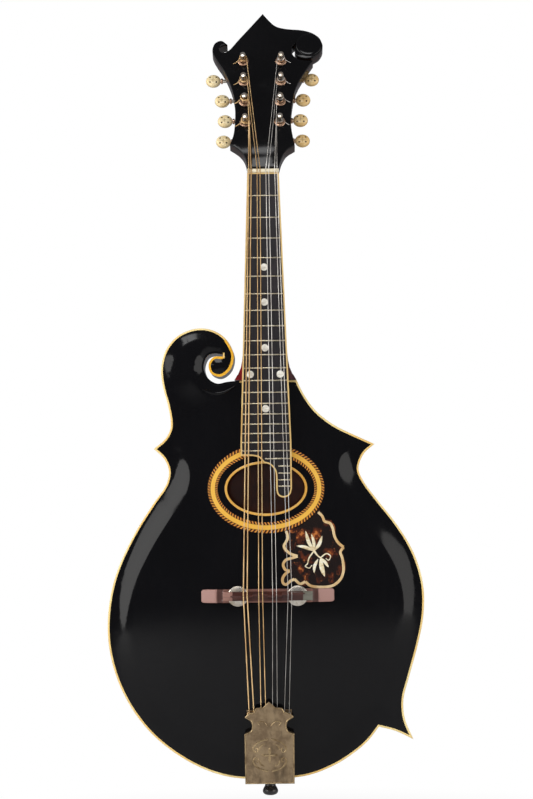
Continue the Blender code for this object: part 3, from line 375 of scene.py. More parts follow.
class Look:
    """A finish: one principled shader and the nodes that vary it."""

    def __init__(self, name, **plain):
        self.material = bpy.data.materials.new(name)
        self.material.use_nodes = True
        self.tree = self.material.node_tree
        self.shader = self.tree.nodes["Principled BSDF"]
        for key, amount in plain.items():
            amount = (*amount, 1) if isinstance(amount, tuple) else amount
            self.shader.inputs[key.replace("_", " ")].default_value = amount
        where = self.tree.nodes.new("ShaderNodeTexCoord")
        self.place, self.flat = Value(self, where.outputs["Object"]), Value(self, where.outputs["UV"])

    def node(self, kind, settings=None, inputs=(), out=0):
        made = self.tree.nodes.new(kind)
        for key, amount in (settings or {}).items():
            setattr(made, key, amount)
        for key, amount in (inputs.items() if isinstance(inputs, dict) else enumerate(inputs)):
            if isinstance(amount, Value):
                self.tree.links.new(amount.socket, made.inputs[key])
            else:
                made.inputs[key].default_value = amount
        return Value(self, made.outputs[out])

    def axes(self, place=None):
        """The three coordinates of a place, in millimetres for Object coordinates."""
        place = place or self.place
        split = self.node("ShaderNodeSeparateXYZ", None, [place])
        size = 1000 if place is self.place else 1
        return [Value(self, out) * size for out in split.socket.node.outputs]

    def stretched(self, scale, turn=(0, 0, 0), place=None):
        return self.node("ShaderNodeMapping", None,
                         {"Vector": place or self.place, "Scale": scale, "Rotation": turn})

    def noise(self, scale, detail=3.0, roughness=0.5, place=None):
        return self.node("ShaderNodeTexNoise", None, {
            "Vector": place or self.place, "Scale": scale, "Detail": detail, "Roughness": roughness})

    def step(self, amount, low, high, start=0.0, end=1.0):
        """amount from low to high, as a smooth rise from start to end."""
        return self.node("ShaderNodeMapRange", {"interpolation_type": "SMOOTHSTEP"},
                         [amount, low, high, start, end])

    def ramp(self, amount, *stops):
        made = self.node("ShaderNodeValToRGB", None, [amount])
        bar = made.socket.node.color_ramp
        while len(bar.elements) < len(stops):
            bar.elements.new(0.5)
        for element, (at, colour) in zip(bar.elements, stops):
            element.position, element.color = at, (*colour, 1)
        return made

    def mix(self, amount, first, second):
        """One colour over another, by amount."""
        colours = [(*c, 1) if isinstance(c, tuple) else c for c in (first, second)]
        made = self.tree.nodes.new("ShaderNodeMix")
        made.data_type = "RGBA"
        for key, entry in ((0, amount), (6, colours[0]), (7, colours[1])):
            if isinstance(entry, Value):
                self.tree.links.new(entry.socket, made.inputs[key])
            else:
                made.inputs[key].default_value = entry
        return Value(self, made.outputs[2])

    def bump(self, height, depth_mm, strength=1.0):
        return self.node("ShaderNodeBump", None,
                         {"Height": height, "Distance": depth_mm * 0.001, "Strength": strength})

    def finish(self, **sockets):
        for key, entry in sockets.items():
            self.tree.links.new(entry.socket, self.shader.inputs[key.replace("_", " ")])
        return self


def lacquer(name, deep, light, roughness=0.07):
    """Old gloss lacquer: a deep colour with faint wood under it, fine wear in the shine and a skin that
    isn't quite flat."""
    look = Look(name, Roughness=roughness, IOR=1.5, Specular_IOR_Level=0.2)
    grain = look.noise(60, 5, 0.6, look.stretched((9, 9, 0.5)))
    cloud = look.noise(14, 3)
    wear = look.noise(900, 2, 0.6)
    haze = look.noise(35, 4, 0.7)
    colour = look.mix(look.step(grain, 0.35, 0.75), deep, light)
    colour = look.mix(look.step(cloud, 0.45, 0.7, 0, 0.5), colour, tuple(0.6 * c for c in deep))
    rough = roughness + 0.10 * look.step(haze, 0.5, 0.8) + 0.03 * wear
    skin = look.bump(look.noise(70, 2) + 0.05 * wear, 0.06, 0.35)
    return look.finish(Base_Color=colour, Roughness=rough, Normal=skin)


black = lacquer("black_lacquer", (0.0022, 0.0022, 0.0030), (0.0032, 0.0030, 0.0036))
BINDING = 1.5
inner = outline(BODY_RUNS, BINDING)
piece("carved_top", slab([inner, ring(HOLE, HOLE_EDGE + 1.9)], top_face,
                         lambda x, z: top_face(x, z) + PLATE, [outline(BODY_RUNS, 4.5)], 3.6),
      black, stands_for="top_plate")


# Top binding: a strip of grained ivory celluloid, bent round the edge and scraped to a soft corner.
# It has yellowed most in the waist and on the points, where the lacquer lies thick.
def aged_ivory(name, pale, amber, gloss=0.18):
    look = Look(name, Roughness=gloss, IOR=1.5)
    patch = look.noise(22, 4, 0.6)
    fine = look.noise(260, 3, 0.6, look.stretched((1, 1, 0.15)))
    dirt = look.noise(120, 5, 0.7)
    colour = look.mix(look.step(patch, 0.35, 0.7), pale, amber)
    colour = look.mix(0.25 * look.step(fine, 0.45, 0.7), colour, tuple(0.62 * c for c in amber))
    colour = look.mix(0.5 * look.step(dirt, 0.62, 0.8), colour, (0.12, 0.06, 0.02))
    return look.finish(Base_Color=colour, Roughness=gloss + 0.15 * dirt, Normal=look.bump(fine, 0.03, 0.3))


edge_ivory = aged_ivory("edge_ivory", (0.90, 0.72, 0.32), (0.84, 0.52, 0.14))


def soft_edge(face, sign=1, radius=0.7):
    """A face that rounds over within a radius of the body's outline, like a quarter circle."""
    def level(x, z):
        far = np.clip(edge_distance(np.column_stack([x, z]), BODY), 0, radius) / radius
        return face(x, z) + sign * radius * (1 - np.sqrt(1 - (1 - far) ** 2))
    return level


insets = [outline(BODY_RUNS, d) for d in (0.08, 0.25, 0.7)]
piece("top_edge_binding", slab([BODY, outline(BODY_RUNS, BINDING + 0.1)],
                               soft_edge(lambda x, z: np.full(len(x), -RIM - 0.05)), -RIM + PLATE, insets),
      edge_ivory, stands_for="top_binding")

# Sides: maple ribs bent hot round the outline and round the scroll, under dark glossy lacquer.
# They stand on the linings and blocks, which are raw wood and show only through the soundhole.
side_lacquer = lacquer("dark_side_lacquer", (0.010, 0.0035, 0.0022), (0.035, 0.010, 0.005), 0.09)
piece("bent_ribs", slab([BODY, outline(BODY_RUNS, 2.3)], -RIM + PLATE + 0.02, RIM - PLATE - 0.02),
      side_lacquer, stands_for="rib_ring")

# Carved back: two pieces of flamed maple, stained deep red-brown at the middle and nearly black at the rim.
# The flame runs across each half and meets in a V along the centre joint.
back_maple = Look("flamed_back", Roughness=0.08, IOR=1.5)
x, y, z = back_maple.axes()
slant = z + 0.35 * x.math("ABSOLUTE")
wander = back_maple.noise(18, 3)
flame = (slant * 0.42 + wander * 9).math("SINE") * 0.5 + 0.5
flame = flame * back_maple.step(back_maple.noise(11, 2), 0.3, 0.65)
far = ((x + 2) / 118).math("POWER", 2) + ((z - 175) / 150).math("POWER", 2)
tone = back_maple.mix(back_maple.step(far, 0.1, 1.15), (0.16, 0.035, 0.010), (0.006, 0.0025, 0.002))
tone = back_maple.mix(flame * 0.5, tone, (0.035, 0.008, 0.004))
pores = back_maple.noise(420, 4, 0.6, back_maple.stretched((1, 1, 0.08)))
back_maple.finish(Base_Color=tone, Roughness=0.07 + 0.12 * back_maple.noise(30, 4),
                  Normal=back_maple.bump(pores, 0.03, 0.25))
piece("carved_back", slab([BODY], RIM - PLATE, soft_edge(lambda x, z: RIM + arch(x, z, 13.0), -1),
                          insets, 4.0), back_maple, stands_for="back_plate")

# Inside: mahogany blocks, basswood linings and a spruce brace, left raw, with a little old glue and dust.
def raw_wood(name, pale, dark):
    look = Look(name, Roughness=0.75)
    grain = look.noise(30, 6, 0.65, look.stretched((6, 6, 0.7)))
    pores = look.noise(500, 3, 0.6, look.stretched((1, 1, 0.1)))
    colour = look.mix(look.step(grain, 0.35, 0.65), pale, dark)
    return look.finish(Base_Color=look.mix(pores * 0.3, colour, tuple(0.5 * c for c in dark)),
                       Normal=look.bump(pores, 0.08, 0.5))


def repaint(look, *names):
    """Give CAD nodes that stay a finish of their own."""
    for name in names:
        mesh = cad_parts[name].data
        mesh.materials.clear()
        mesh.materials.append(look.material)


repaint(raw_wood("raw_mahogany", (0.28, 0.11, 0.05), (0.15, 0.05, 0.02)), "neck_block", "tail_block")
repaint(raw_wood("raw_basswood", (0.60, 0.42, 0.22), (0.42, 0.27, 0.12)), "top_lining", "back_lining")
repaint(raw_wood("raw_spruce", (0.66, 0.47, 0.24), (0.45, 0.28, 0.12)), "tone_bar")

# Soundhole binding: a strip of yellowed celluloid bent into an oval and glued inside the hole's edge.
hole_ivory = aged_ivory("soundhole_ivory", (0.80, 0.50, 0.13), (0.70, 0.36, 0.06))


def band(centre, reach, low, high, lift, depth, count=240, steps=8, crown=0.0):
    """A band round an ellipse: the angle and the place across it are its two parameters. It stands lift
    over the top, a little more at its middle, and is sunk by depth."""
    turn = np.arange(count) * 2 * math.pi / count
    across = np.linspace(0, 1, steps + 1)
    radii = np.asarray(low)[:, None] + (np.asarray(high) - low)[:, None] * across
    x = centre[0] + radii[0] * np.cos(turn)[:, None]
    z = centre[1] + radii[1] * np.sin(turn)[:, None]
    y = top_face(x.ravel(), z.ravel()).reshape(x.shape) - lift - crown * np.sin(across * math.pi)
    upper = np.stack([x, y, z], axis=2).reshape(-1, 3)
    lower = upper + (0, depth, 0)
    grid = np.arange(count * (steps + 1)).reshape(count, steps + 1)
    after = np.roll(grid, -1, axis=0)
    size = count * (steps + 1)
    quads = np.stack([grid[:, :-1], grid[:, 1:], after[:, 1:], after[:, :-1]], axis=2).reshape(-1, 4)
    walls = [np.column_stack([grid[:, k], after[:, k], after[:, k] + size, grid[:, k] + size]) for k in (0, -1)]
    uv = np.stack(np.broadcast_arrays(turn[:, None] / (2 * math.pi), across), axis=2).reshape(-1, 2)
    return np.vstack([upper, lower]), [*quads.tolist(), *(quads[:, ::-1] + size).tolist(),
                                       *np.vstack(walls).tolist()], np.vstack([uv, uv])


shape = band(HOLE, HOLE_EDGE, HOLE_EDGE, HOLE_EDGE + 1.95, 0.12, PLATE, steps=4, crown=0.15)
piece("soundhole_strip", shape, hole_ivory, stands_for="soundhole_binding")

# Rosette: a yellow celluloid band between two ropes of slanted orange and black wood, let into the top.
ROSETTE = np.array(((40.2, 28.0), (48.6, 37.1)))
rope_work = Look("rope_rosette", Roughness=0.14, IOR=1.5)
u, v, _ = rope_work.axes(rope_work.flat)
inner_rope, outer_rope = v < 0.27, v > 0.71
rope = inner_rope + outer_rope
across = (v * inner_rope) / 0.27 + ((v - 0.71) * outer_rope) / 0.29
slant = (u * 96 + 0.55 * across * (1 - 2 * inner_rope)).math("FRACT")
grainy = rope_work.noise(500, 3, 0.6)
chip = rope_work.step((slant - 0.5).math("ABSOLUTE") + 0.12 * grainy, 0.24, 0.30)
orange = rope_work.mix(rope_work.noise(160, 3), (0.62, 0.21, 0.025), (0.80, 0.38, 0.07))
tile = rope_work.mix(chip, orange, (0.045, 0.012, 0.006))
yellow = rope_work.mix(rope_work.noise(40, 4), (0.86, 0.52, 0.10), (0.80, 0.43, 0.05))
edge = rope_work.step((across - 0.5).math("ABSOLUTE"), 0.40, 0.48) * rope
line = rope_work.step((v - 0.49).math("ABSOLUTE"), 0.195, 0.212) * (1 - rope)
colour = rope_work.mix(rope, yellow, rope_work.mix(edge, tile, (0.03, 0.010, 0.005)))
colour = rope_work.mix(line * 0.8, colour, (0.25, 0.09, 0.02))
rope_work.finish(Base_Color=colour, Roughness=0.10 + 0.12 * grainy,
                 Normal=rope_work.bump(chip * rope + line, 0.05, 0.4))
piece("rope_rosette", band(HOLE, None, ROSETTE[0], ROSETTE[1], 0.10, 1.0, 360, 10, 0.05), rope_work,
      stands_for="rosette_ring")

# Guard: mottled tortoise celluloid let into the top beside the strings, flush with the lacquer.
GUARD_RUNS = (
    ((14.9, 221.6), (15.4, 215), (12.9, 209.6), (14.2, 204.6), (18.8, 201.6)),
    ((18.8, 201.6), (13.6, 199.2), (12, 195.6), (13.2, 192.2), (17.4, 189.9)),
    ((17.4, 189.9), (12.4, 186.5), (11, 182), (13.6, 177.8), (17.5, 178.1), (20.6, 181.2)),
    ((20.6, 181.2), (24, 177.8), (29.5, 177.3)),
    ((29.5, 177.3), (35.5, 175.2), (52.6, 175.1), (60, 179.8), (64.2, 187), (64.6, 197), (61.8, 206)),
    ((61.8, 206), (63.6, 208.9)),
    ((63.6, 208.9), (59.4, 213.4), (57, 219), (56.4, 226), (53, 230.9)),
    ((53, 230.9), (47.9, 232.4), (46.9, 236.5), (44.1, 239.6)),
)
close = np.radians(np.linspace(-22, -72, 25))
along = HOLE + np.column_stack([np.cos(close), np.sin(close)]) * (ROSETTE[1] + 0.6)
along = along[(along[:, 0] > 15.4) & (along[:, 0] < 43.6)]
guard = outline((*GUARD_RUNS, (GUARD_RUNS[-1][-1], *along, GUARD_RUNS[0][0])))
tortoise = Look("tortoise_celluloid", Roughness=0.12, IOR=1.5)
blot = tortoise.noise(95, 4, 0.62, tortoise.stretched((1, 1, 0.8)))
fleck = tortoise.noise(330, 3, 0.6)
colour = tortoise.mix(tortoise.step(blot, 0.50, 0.68), (0.009, 0.004, 0.003), (0.12, 0.024, 0.007))
colour = tortoise.mix(tortoise.step(blot * 0.6 + fleck * 0.5, 0.64, 0.72), colour, (0.48, 0.15, 0.035))
tortoise.finish(Base_Color=colour, Roughness=0.10 + 0.10 * fleck, Normal=tortoise.bump(blot, 0.04, 0.3))
piece("tortoise_guard", slab([guard], lambda x, z: top_face(x, z) - 0.08, lambda x, z: top_face(x, z) + 0.9,
                             spacing=3), tortoise, stands_for="inlaid_pickguard")

# Guard inlay: a champagne celluloid band inside the guard's edge and a cut mother-of-pearl sprig.
def ribbon(path, half, face, lift=0.2, depth=0.5, taper=None, crown=0.06, steps=4):
    """A flat strip along a smooth path: how far along and how far across are its two parameters. Its half
    width is the given one times taper of the way along, and it stands lift over a face."""
    line = smooth_line(path, 0.1, 1.2)
    ahead = np.gradient(line, axis=0)
    ahead /= np.linalg.norm(ahead, axis=1)[:, None]
    way = np.linspace(0, 1, len(line))
    wide = half * (taper(way) if taper else np.ones(len(line)))
    across = np.linspace(-1, 1, steps + 1)
    flat = line[:, None] + (np.column_stack([-ahead[:, 1], ahead[:, 0]]) * wide[:, None])[:, None] * across[:, None]
    y = face(flat[..., 0].ravel(), flat[..., 1].ravel()).reshape(flat.shape[:2]) - lift - crown * (1 - across ** 2)
    upper = np.stack([flat[..., 0], y, flat[..., 1]], axis=2)
    loop = np.concatenate([upper, (upper + (0, depth, 0))[:, ::-1]], axis=1)
    return grid_shape(loop)


def grid_shape(rings, capped=True):
    """Faces over rings of the same number of points, each closed on itself, with both ends shut."""
    rings = np.asarray(rings, float)
    count, around = rings.shape[:2]
    at = np.arange(count * around).reshape(count, around)
    beside = np.roll(at, -1, axis=1)
    faces = np.stack([at[:-1], beside[:-1], beside[1:], at[1:]], axis=2).reshape(-1, 4).tolist()
    if capped:
        faces += [at[0, ::-1].tolist(), at[-1].tolist()]
    return rings.reshape(-1, 3), faces


def joined(shapes):
    """Several shapes as one."""
    starts = np.cumsum([0] + [len(shape[0]) for shape in shapes[:-1]])
    faces = [[v + int(start) for v in face] for start, shape in zip(starts, shapes) for face in shape[1]]
    return np.vstack([shape[0] for shape in shapes]), faces


champagne = Look("champagne_band", Roughness=0.16, IOR=1.5)
sheen = champagne.noise(120, 4, 0.6, champagne.stretched((1, 1, 0.4)))
colour = champagne.mix(champagne.step(sheen, 0.35, 0.65), (0.78, 0.62, 0.36), (0.60, 0.38, 0.16))
champagne.finish(Base_Color=colour, Roughness=0.12 + 0.15 * sheen, Normal=champagne.bump(sheen, 0.04, 0.3))
BAND = (
    ((15.8, 222.4), (17.2, 217.1), (15.7, 213.6), (13.9, 210.2), (15.6, 206.6), (19.1, 203.7), (25.1, 201.5)),
    ((25.1, 201.5), (19, 199.7), (15.5, 198.6), (13.1, 195.1), (14.8, 190.5), (18.3, 189.5)),
    ((18.3, 189.5), (14.2, 186.4), (12.4, 182.9), (12.9, 179.4), (15.2, 178.2), (18.8, 181.1), (22.3, 182.7)),
    ((22.3, 182.7), (26.9, 178.7), (31.2, 180.4)),
    ((31.2, 180.4), (36.1, 176.8), (53, 176.6), (60.2, 181.8), (62.8, 188.2), (62.9, 194.6), (61.9, 200.3),
     (60.6, 204.4), (63.2, 208.5)),
    ((63.2, 208.5), (58.7, 212.5), (55.9, 217.8), (54.7, 223.6), (52.4, 228.3), (47.8, 230.2), (46.1, 234.2),
     (42.7, 237.8)),
)
piece("guard_band", joined([ribbon(run, 1.1, top_face) for run in BAND]), champagne)

# Scroll: its curl is edged with a wider strip of bright yellow celluloid. The body's side of the slot is
# lacquered black, and a carved ridge runs under it from the waist to the neck.
curl_ivory = aged_ivory("curl_ivory", (0.92, 0.56, 0.05), (0.86, 0.44, 0.03), 0.14)
rim_level = lambda x, z: np.full(len(x), -RIM - 0.05)
CURL = ((-32.5, 383.2), (-26.3, 370), (-29.4, 357.7), (-38, 351.9), (-45.8, 355.2), (-47.2, 363), (-42.9, 368.4),
        (-35.5, 368.7))


def beside(run, inset):
    """A smooth run moved sideways."""
    line = smooth_line(run, 0.1, 1.5)
    ahead = np.gradient(line, axis=0)
    ahead /= np.linalg.norm(ahead, axis=1)[:, None]
    return line + inset * np.column_stack([ahead[:, 1], -ahead[:, 0]])


def strip(line, half, face, look, name, lift=0.12, taper=None, crown=0.1):
    piece(name, ribbon([tuple(p) for p in line[::2]], half, face, lift, 0.6, taper, crown), look)


strip(beside(CURL, 1.1), 1.15, rim_level, curl_ivory, "curl_edging", 0.14,
      lambda t: 0.62 + 0.38 * smoothstep(t * 3))
strip(beside(BODY_RUNS[3], 0.8), 0.95, rim_level, black, "slot_edge", 0.16)
ridge = ((-53.8, 341.9), (-47.9, 339.3), (-41.5, 338.1), (-35.1, 338.9), (-28.7, 342), (-24.5, 344.9))
piece("carved_ridge", ribbon(ridge, 1.6, top_face, 0.05, 0.8,
                             lambda t: np.sin(math.pi * np.clip(t, 0.02, 0.98)) ** 0.5,
                             0.75, 8), black)
pearl = Look("pearl_sprig", Roughness=0.15, IOR=1.55)
layers = pearl.noise(190, 4, 0.65, pearl.stretched((1, 1, 2.5)))
pearl.finish(Base_Color=pearl.ramp(layers, (0.3, (0.55, 0.40, 0.20)), (0.5, (0.84, 0.74, 0.50)),
                                   (0.68, (0.90, 0.90, 0.80))),
             Roughness=0.10 + 0.2 * layers, Normal=pearl.bump(layers, 0.05, 0.4))
leaf = lambda t: np.sin(math.pi * np.clip(t, 0.02, 0.99)) ** 0.7
stem = lambda t: 1 - 0.5 * t
SPRIG = (
    ((38.8, 205.8), (34.5, 213), (32, 222.2), 1.5, leaf), ((38.8, 205.8), (38.6, 213), (36.7, 219.8), 1.3, leaf),
    ((38.8, 205.8), (43, 211), (45.6, 217.9), 1.4, leaf), ((38.8, 205.8), (31, 209), (24.6, 210.1), 1.4, leaf),
    ((44, 200), (45, 192), (47.3, 184.5), 1.9, leaf), ((42, 199), (39, 193), (38.6, 187.5), 1.3, leaf),
    ((44, 200), (48, 196), (50.6, 192), 1.3, leaf), ((38.8, 205.8), (41.5, 202), (44, 200), 0.9, stem),
)
sprig = [ribbon(run[:3], run[3], top_face, 0.22, 0.5, run[4], 0.12) for run in SPRIG]
sprig += [ribbon(run, 0.55, top_face, 0.22, 0.5, stem, 0.1) for run in (
    ((38.8, 205.8), (34.6, 200), (33, 195), (31.3, 193.3), (34.6, 191.6), (37, 194)),
    ((44, 200), (49.2, 203.4), (52.4, 201), (50.6, 197.8), (48.4, 199.6)))]
piece("guard_sprig", joined(sprig), pearl)

# Neck: one piece of mahogany with its heel, lacquered cherry red and shaded nearly black along its back.
# It is set into the body at the twelfth fret, and runs on under the board's tongue.
NUT = 524.0
SCALE = 352.4
BOARD_HALF = (13.4, 21.1)
WIDE_Z = 296.2
BOARD_THICK = 5.5


def board_face(x, z):
    return -32.0 + (np.asarray(z, float) - JOIN) * math.tan(math.radians(4.5))


def board_half(z):
    return np.minimum(BOARD_HALF[1], BOARD_HALF[0] + (BOARD_HALF[1] - BOARD_HALF[0]) * (NUT - z) / (NUT - WIDE_Z))


SECTIONS = np.array((
    (348.6, 6.6, 45.3), (353, 3.9, 37.0), (358, 1.7, 29.0), (364, 0.5, 22.5), (372, 0, 18.3), (388, 0, 16.6),
    (430, 0, 15.6), (505, 0, 14.6), (518, 0, 13.6), (528.6, 0, 9.8)))
cherry = Look("cherry_lacquer", Roughness=0.08, IOR=1.5)
x, y, z = cherry.axes()
grain = cherry.noise(45, 6, 0.65, cherry.stretched((6, 6, 0.35)))
# Painted shade: the neck's right side is painted a darker, duller red as shade, and its left side a brighter red as
# lit.
side = cherry.step(x, -6, 8)
red = cherry.mix(side, (0.20, 0.006, 0.010), (0.075, 0.030, 0.034))
colour = cherry.mix(cherry.step(grain, 0.35, 0.7), red,
                    cherry.mix(side, (0.09, 0.003, 0.004), (0.035, 0.012, 0.013)))
colour = cherry.mix(cherry.step(z, 368, 410), colour, (0.006, 0.0035, 0.003))
cherry.finish(Base_Color=colour, Roughness=0.06 + 0.12 * cherry.noise(50, 3),
              Normal=cherry.bump(grain, 0.03, 0.3))
heights = np.unique(np.concatenate([SECTIONS[:, 0], np.linspace(348.6, 372, 18), np.linspace(372, 528.6, 34)]))
past, deep = (np.interp(heights, SECTIONS[:, 0], SECTIONS[:, k]) for k in (1, 2))
for _ in range(3):
    past[1:-1], deep[1:-1] = ((row[:-2] + 2 * row[1:-1] + row[2:]) / 4 for row in (past, deep))
turn = np.linspace(0, math.pi, 41)
half = (board_half(heights) + past)[:, None]
front = (board_face(0, heights) + BOARD_THICK + 0.1)[:, None]
rings = np.stack([-half * np.cos(turn), front + deep[:, None] * np.sin(turn) ** 0.8,
                  np.broadcast_to(heights[:, None], (len(heights), len(turn)))], axis=2)
under = slab([np.array([(-17.5, 286.5), (-17.5, 352), (17.5, 352), (17.5, 286.5)])],
             lambda x, z: board_face(x, z) + BOARD_THICK + 0.05, lambda x, z: top_face(x, z) + 0.3, spacing=6)
piece("neck_and_heel", grid_shape(rings), cherry, stands_for="neck")
piece("neck_extension", under, cherry)

# Head: the neck's own wood with black lacquer over it, leaning back twenty degrees, under a black veneer.
# Its scroll is a raised disc inside a narrow crescent. The face is left bare.
HEAD_ORIGIN = np.array((0.0, -15.5, 528.0))
LEAN = math.radians(20)
HEAD_THICK = 12.7
HEAD_RUNS = (
    ((-13.4, 0.9), (-14.2, 6.5), (-16.5, 12.9), (-21, 18.6), (-27.9, 23.7)),
    ((-27.9, 23.7), (-25, 32), (-23.5, 46), (-23.9, 65.5), (-27, 80), (-32.9, 95.1), (-40.6, 108.5),
     (-43, 116.1), (-40.6, 123.6), (-35.2, 126), (-29.9, 122)),
    ((-29.9, 122), (-33.8, 121), (-37.4, 118.2), (-35.2, 114.4), (-30.5, 114.6), (-20.1, 126.9),
     (-10.2, 139), (0.9, 152.8)),
    ((0.9, 152.8), (5.5, 146.6), (12, 140), (21, 137.1), (36.6, 135.2), (47, 130.3), (52.6, 120),
     (49.5, 112), (43.6, 107.6)),
    ((43.6, 107.6), (36.5, 107.1), (30.2, 109.9), (28.3, 115.5), (29.9, 122.9)),
    ((29.9, 122.9), (26, 118.5), (26.2, 112), (30.4, 107), (37, 105.3), (44, 104.8)),
    ((44, 104.8), (37, 93.5), (29, 78), (25, 58), (24.4, 40), (27.2, 21.9)),
    ((27.2, 21.9), (20, 16.8), (15.5, 8.5), (13.5, 0.9)),
    ((13.5, 0.9), (-13.4, 0.9)),
)


def on_head(points):
    """Points across, along and out of the head's face, as points of the instrument."""
    across, along, out = np.moveaxis(np.asarray(points, float), -1, 0)
    return np.stack([HEAD_ORIGIN[0] + across,
                     HEAD_ORIGIN[1] + along * math.sin(LEAN) - out * math.cos(LEAN),
                     HEAD_ORIGIN[2] + along * math.cos(LEAN) + out * math.sin(LEAN)], axis=-1)


def head_plate(loops, out, back, lines=(), spacing=0.0):
    """A plate in the head's frame, between two heights over its face."""
    level = [(lambda x, z, f=f: -f(x, z)) if callable(f) else -f for f in (out, back)]
    points, faces = slab(loops, *level, lines, spacing)
    return on_head(points[:, [0, 2, 1]] * (1, 1, -1)), faces


HEAD = outline(HEAD_RUNS)


def head_edge(out, sign=1, radius=0.8):
    def level(x, z):
        far = np.clip(edge_distance(np.column_stack([x, z]), HEAD), 0, radius) / radius
        return out - sign * radius * (1 - np.sqrt(1 - (1 - far) ** 2))
    return level


head_black = lacquer("black_head", (0.0026, 0.0026, 0.0032), (0.0038, 0.0035, 0.0040), 0.08)
rounding = [outline(HEAD_RUNS, d) for d in (0.1, 0.3, 0.8)]
piece("head_face", head_plate([HEAD], head_edge(0), -1.5, rounding), head_black, stands_for="headstock_veneer")
piece("head_core", head_plate([HEAD], -1.52, head_edge(-HEAD_THICK, -1, 0.8), rounding), side_lacquer)


def turned(profile, count=48, centre=(0, 0, 0)):
    """A turned piece: a profile of radii and heights, taken round an axis."""
    profile = np.asarray(profile, float)
    turn = np.arange(count) * 2 * math.pi / count
    radius, height = np.maximum(profile[:, :1], 0.001), profile[:, 1:]
    rings = np.stack([radius * np.cos(turn), radius * np.sin(turn), height + 0 * turn], axis=2)
    return rings + np.asarray(centre, float)


disc = smooth_line([(11.3, -0.6), (11.2, 0.6), (10.2, 1.25), (6, 1.75), (0, 1.9)], 0.15, 0.6)
rings = turned(disc, 72) * (1, 1, 1)
piece("head_scroll", grid_shape(on_head(rings + (40.6, 120.3, 0))), head_black)

# Fingerboard: ebony, dull from use, bound at both edges and round the tongue beside the soundhole.
END = (((-21.1, 285.2), (-12, 285), (-6, 283.6), (-2, 279.2)),
       ((-2, 279.2), (3, 277.6), (7.2, 272.5), (8.1, 264), (8.2, 256), (10, 251.8), (14.6, 250.3),
        (19.2, 252.4), (21.1, 257.5)))
top_z = NUT - 0.1
wide, nut = BOARD_HALF[1], BOARD_HALF[0]
BOARD_RUNS = (((-wide, WIDE_Z), (-nut, top_z)), ((-nut, top_z), (nut, top_z)), ((nut, top_z), (wide, WIDE_Z)),
              ((wide, WIDE_Z), END[1][-1]), END[1][::-1], END[0][::-1], (END[0][0], (-wide, WIDE_Z)))
ebony = Look("worn_ebony", Roughness=0.42, IOR=1.5, Specular_IOR_Level=0.3)
grain = ebony.noise(60, 6, 0.7, ebony.stretched((12, 12, 0.6)))
pores = ebony.noise(900, 2, 0.6, ebony.stretched((1, 1, 0.06)))
worn = ebony.noise(28, 3)
colour = ebony.mix(ebony.step(grain, 0.35, 0.7), (0.0065, 0.0055, 0.007), (0.016, 0.012, 0.015))
colour = ebony.mix(0.5 * ebony.step(worn, 0.5, 0.75), colour, (0.028, 0.022, 0.026))
ebony.finish(Base_Color=colour, Roughness=0.32 + 0.2 * grain, Normal=ebony.bump(pores, 0.06, 0.5))
inside = outline(BOARD_RUNS, 1.2)
back = lambda x, z: board_face(x, z) + BOARD_THICK
piece("ebony_board", slab([inside], board_face, back), ebony, stands_for="fingerboard")
board_ivory = aged_ivory("board_ivory", (0.80, 0.58, 0.25), (0.66, 0.40, 0.13))
piece("board_edging", slab([outline(BOARD_RUNS), inside], lambda x, z: board_face(x, z) - 0.04, back),
      board_ivory, stands_for="fingerboard_binding")

# Frets: nickel-silver wires with rounded crowns, pressed into slots and filed down at the ends.
fret_look = Look("fret_nickel", Metallic=1.0, Roughness=0.25)
wear = fret_look.noise(300, 3)
fret_look.finish(Base_Color=fret_look.mix(wear, (0.62, 0.52, 0.34), (0.80, 0.74, 0.60)),
                 Roughness=0.18 + 0.2 * wear, Normal=fret_look.bump(wear, 0.02, 0.3))
number = np.arange(1, 25)
fret_z = NUT - SCALE * (1 - 2.0 ** (-number / 12))
reach = board_half(fret_z) - 1.4
left = np.where(number < 20, -reach, np.where(number == 20, -1.0, 9.9))
curve = np.linspace(0, math.pi, 9)
crown = np.column_stack([-0.6 * np.cos(curve), -0.9 * np.sin(curve) ** 0.8])
crown = np.vstack([crown, [(0.6, 1.2), (-0.6, 1.2)]])
ends = np.array((0.0, 0.35, 1.0))
wires = []
for x0, x1, z0 in zip(left, reach, fret_z):
    x = np.concatenate([x0 + 0.5 * ends, x1 - 0.5 * ends[::-1]])
    low = np.concatenate([(0.35, 0.8, 1.0), (1.0, 0.8, 0.35)])
    rings = np.stack([x[:, None] + 0 * crown[:, 0],
                      board_face(0, z0 + crown[:, 0])
                      + np.where(crown[:, 1] < 0, crown[:, 1] * low[:, None], crown[:, 1]),
                      z0 + crown[:, 0] + 0 * x[:, None]], axis=2)
    wires.append(grid_shape(rings))
piece("frets", joined(wires), fret_look)

# Position dots: discs of white pearl, level with the board, at the fifth, seventh, tenth, twelfth and
# fifteenth spaces.
dot_pearl = Look("dot_pearl", Roughness=0.18, IOR=1.55)
layers = dot_pearl.noise(240, 4, 0.65, dot_pearl.stretched((1, 1, 2)))
dot_pearl.finish(Base_Color=dot_pearl.ramp(layers, (0.3, (0.50, 0.46, 0.40)), (0.55, (0.80, 0.77, 0.68)),
                                           (0.7, (0.92, 0.92, 0.88))), Roughness=0.12 + 0.2 * layers)
at = lambda n: NUT - SCALE * (1 - 2.0 ** (-(n - 0.5) / 12))
dots = []
for x0, n in ((0, 5), (0, 7), (0, 10), (-12.5, 12), (12.5, 12), (0, 15)):
    flat = turned([(0, -0.05), (2.9, -0.05), (3.05, 0.0), (3.05, 0.8), (0, 0.8)], 48)[..., [0, 2, 1]]
    flat[..., 1] += board_face(0, flat[..., 2] + at(n)) * 1.0
    dots.append(grid_shape(flat + (x0, 0, at(n))))
piece("position_dots", joined(dots), dot_pearl)

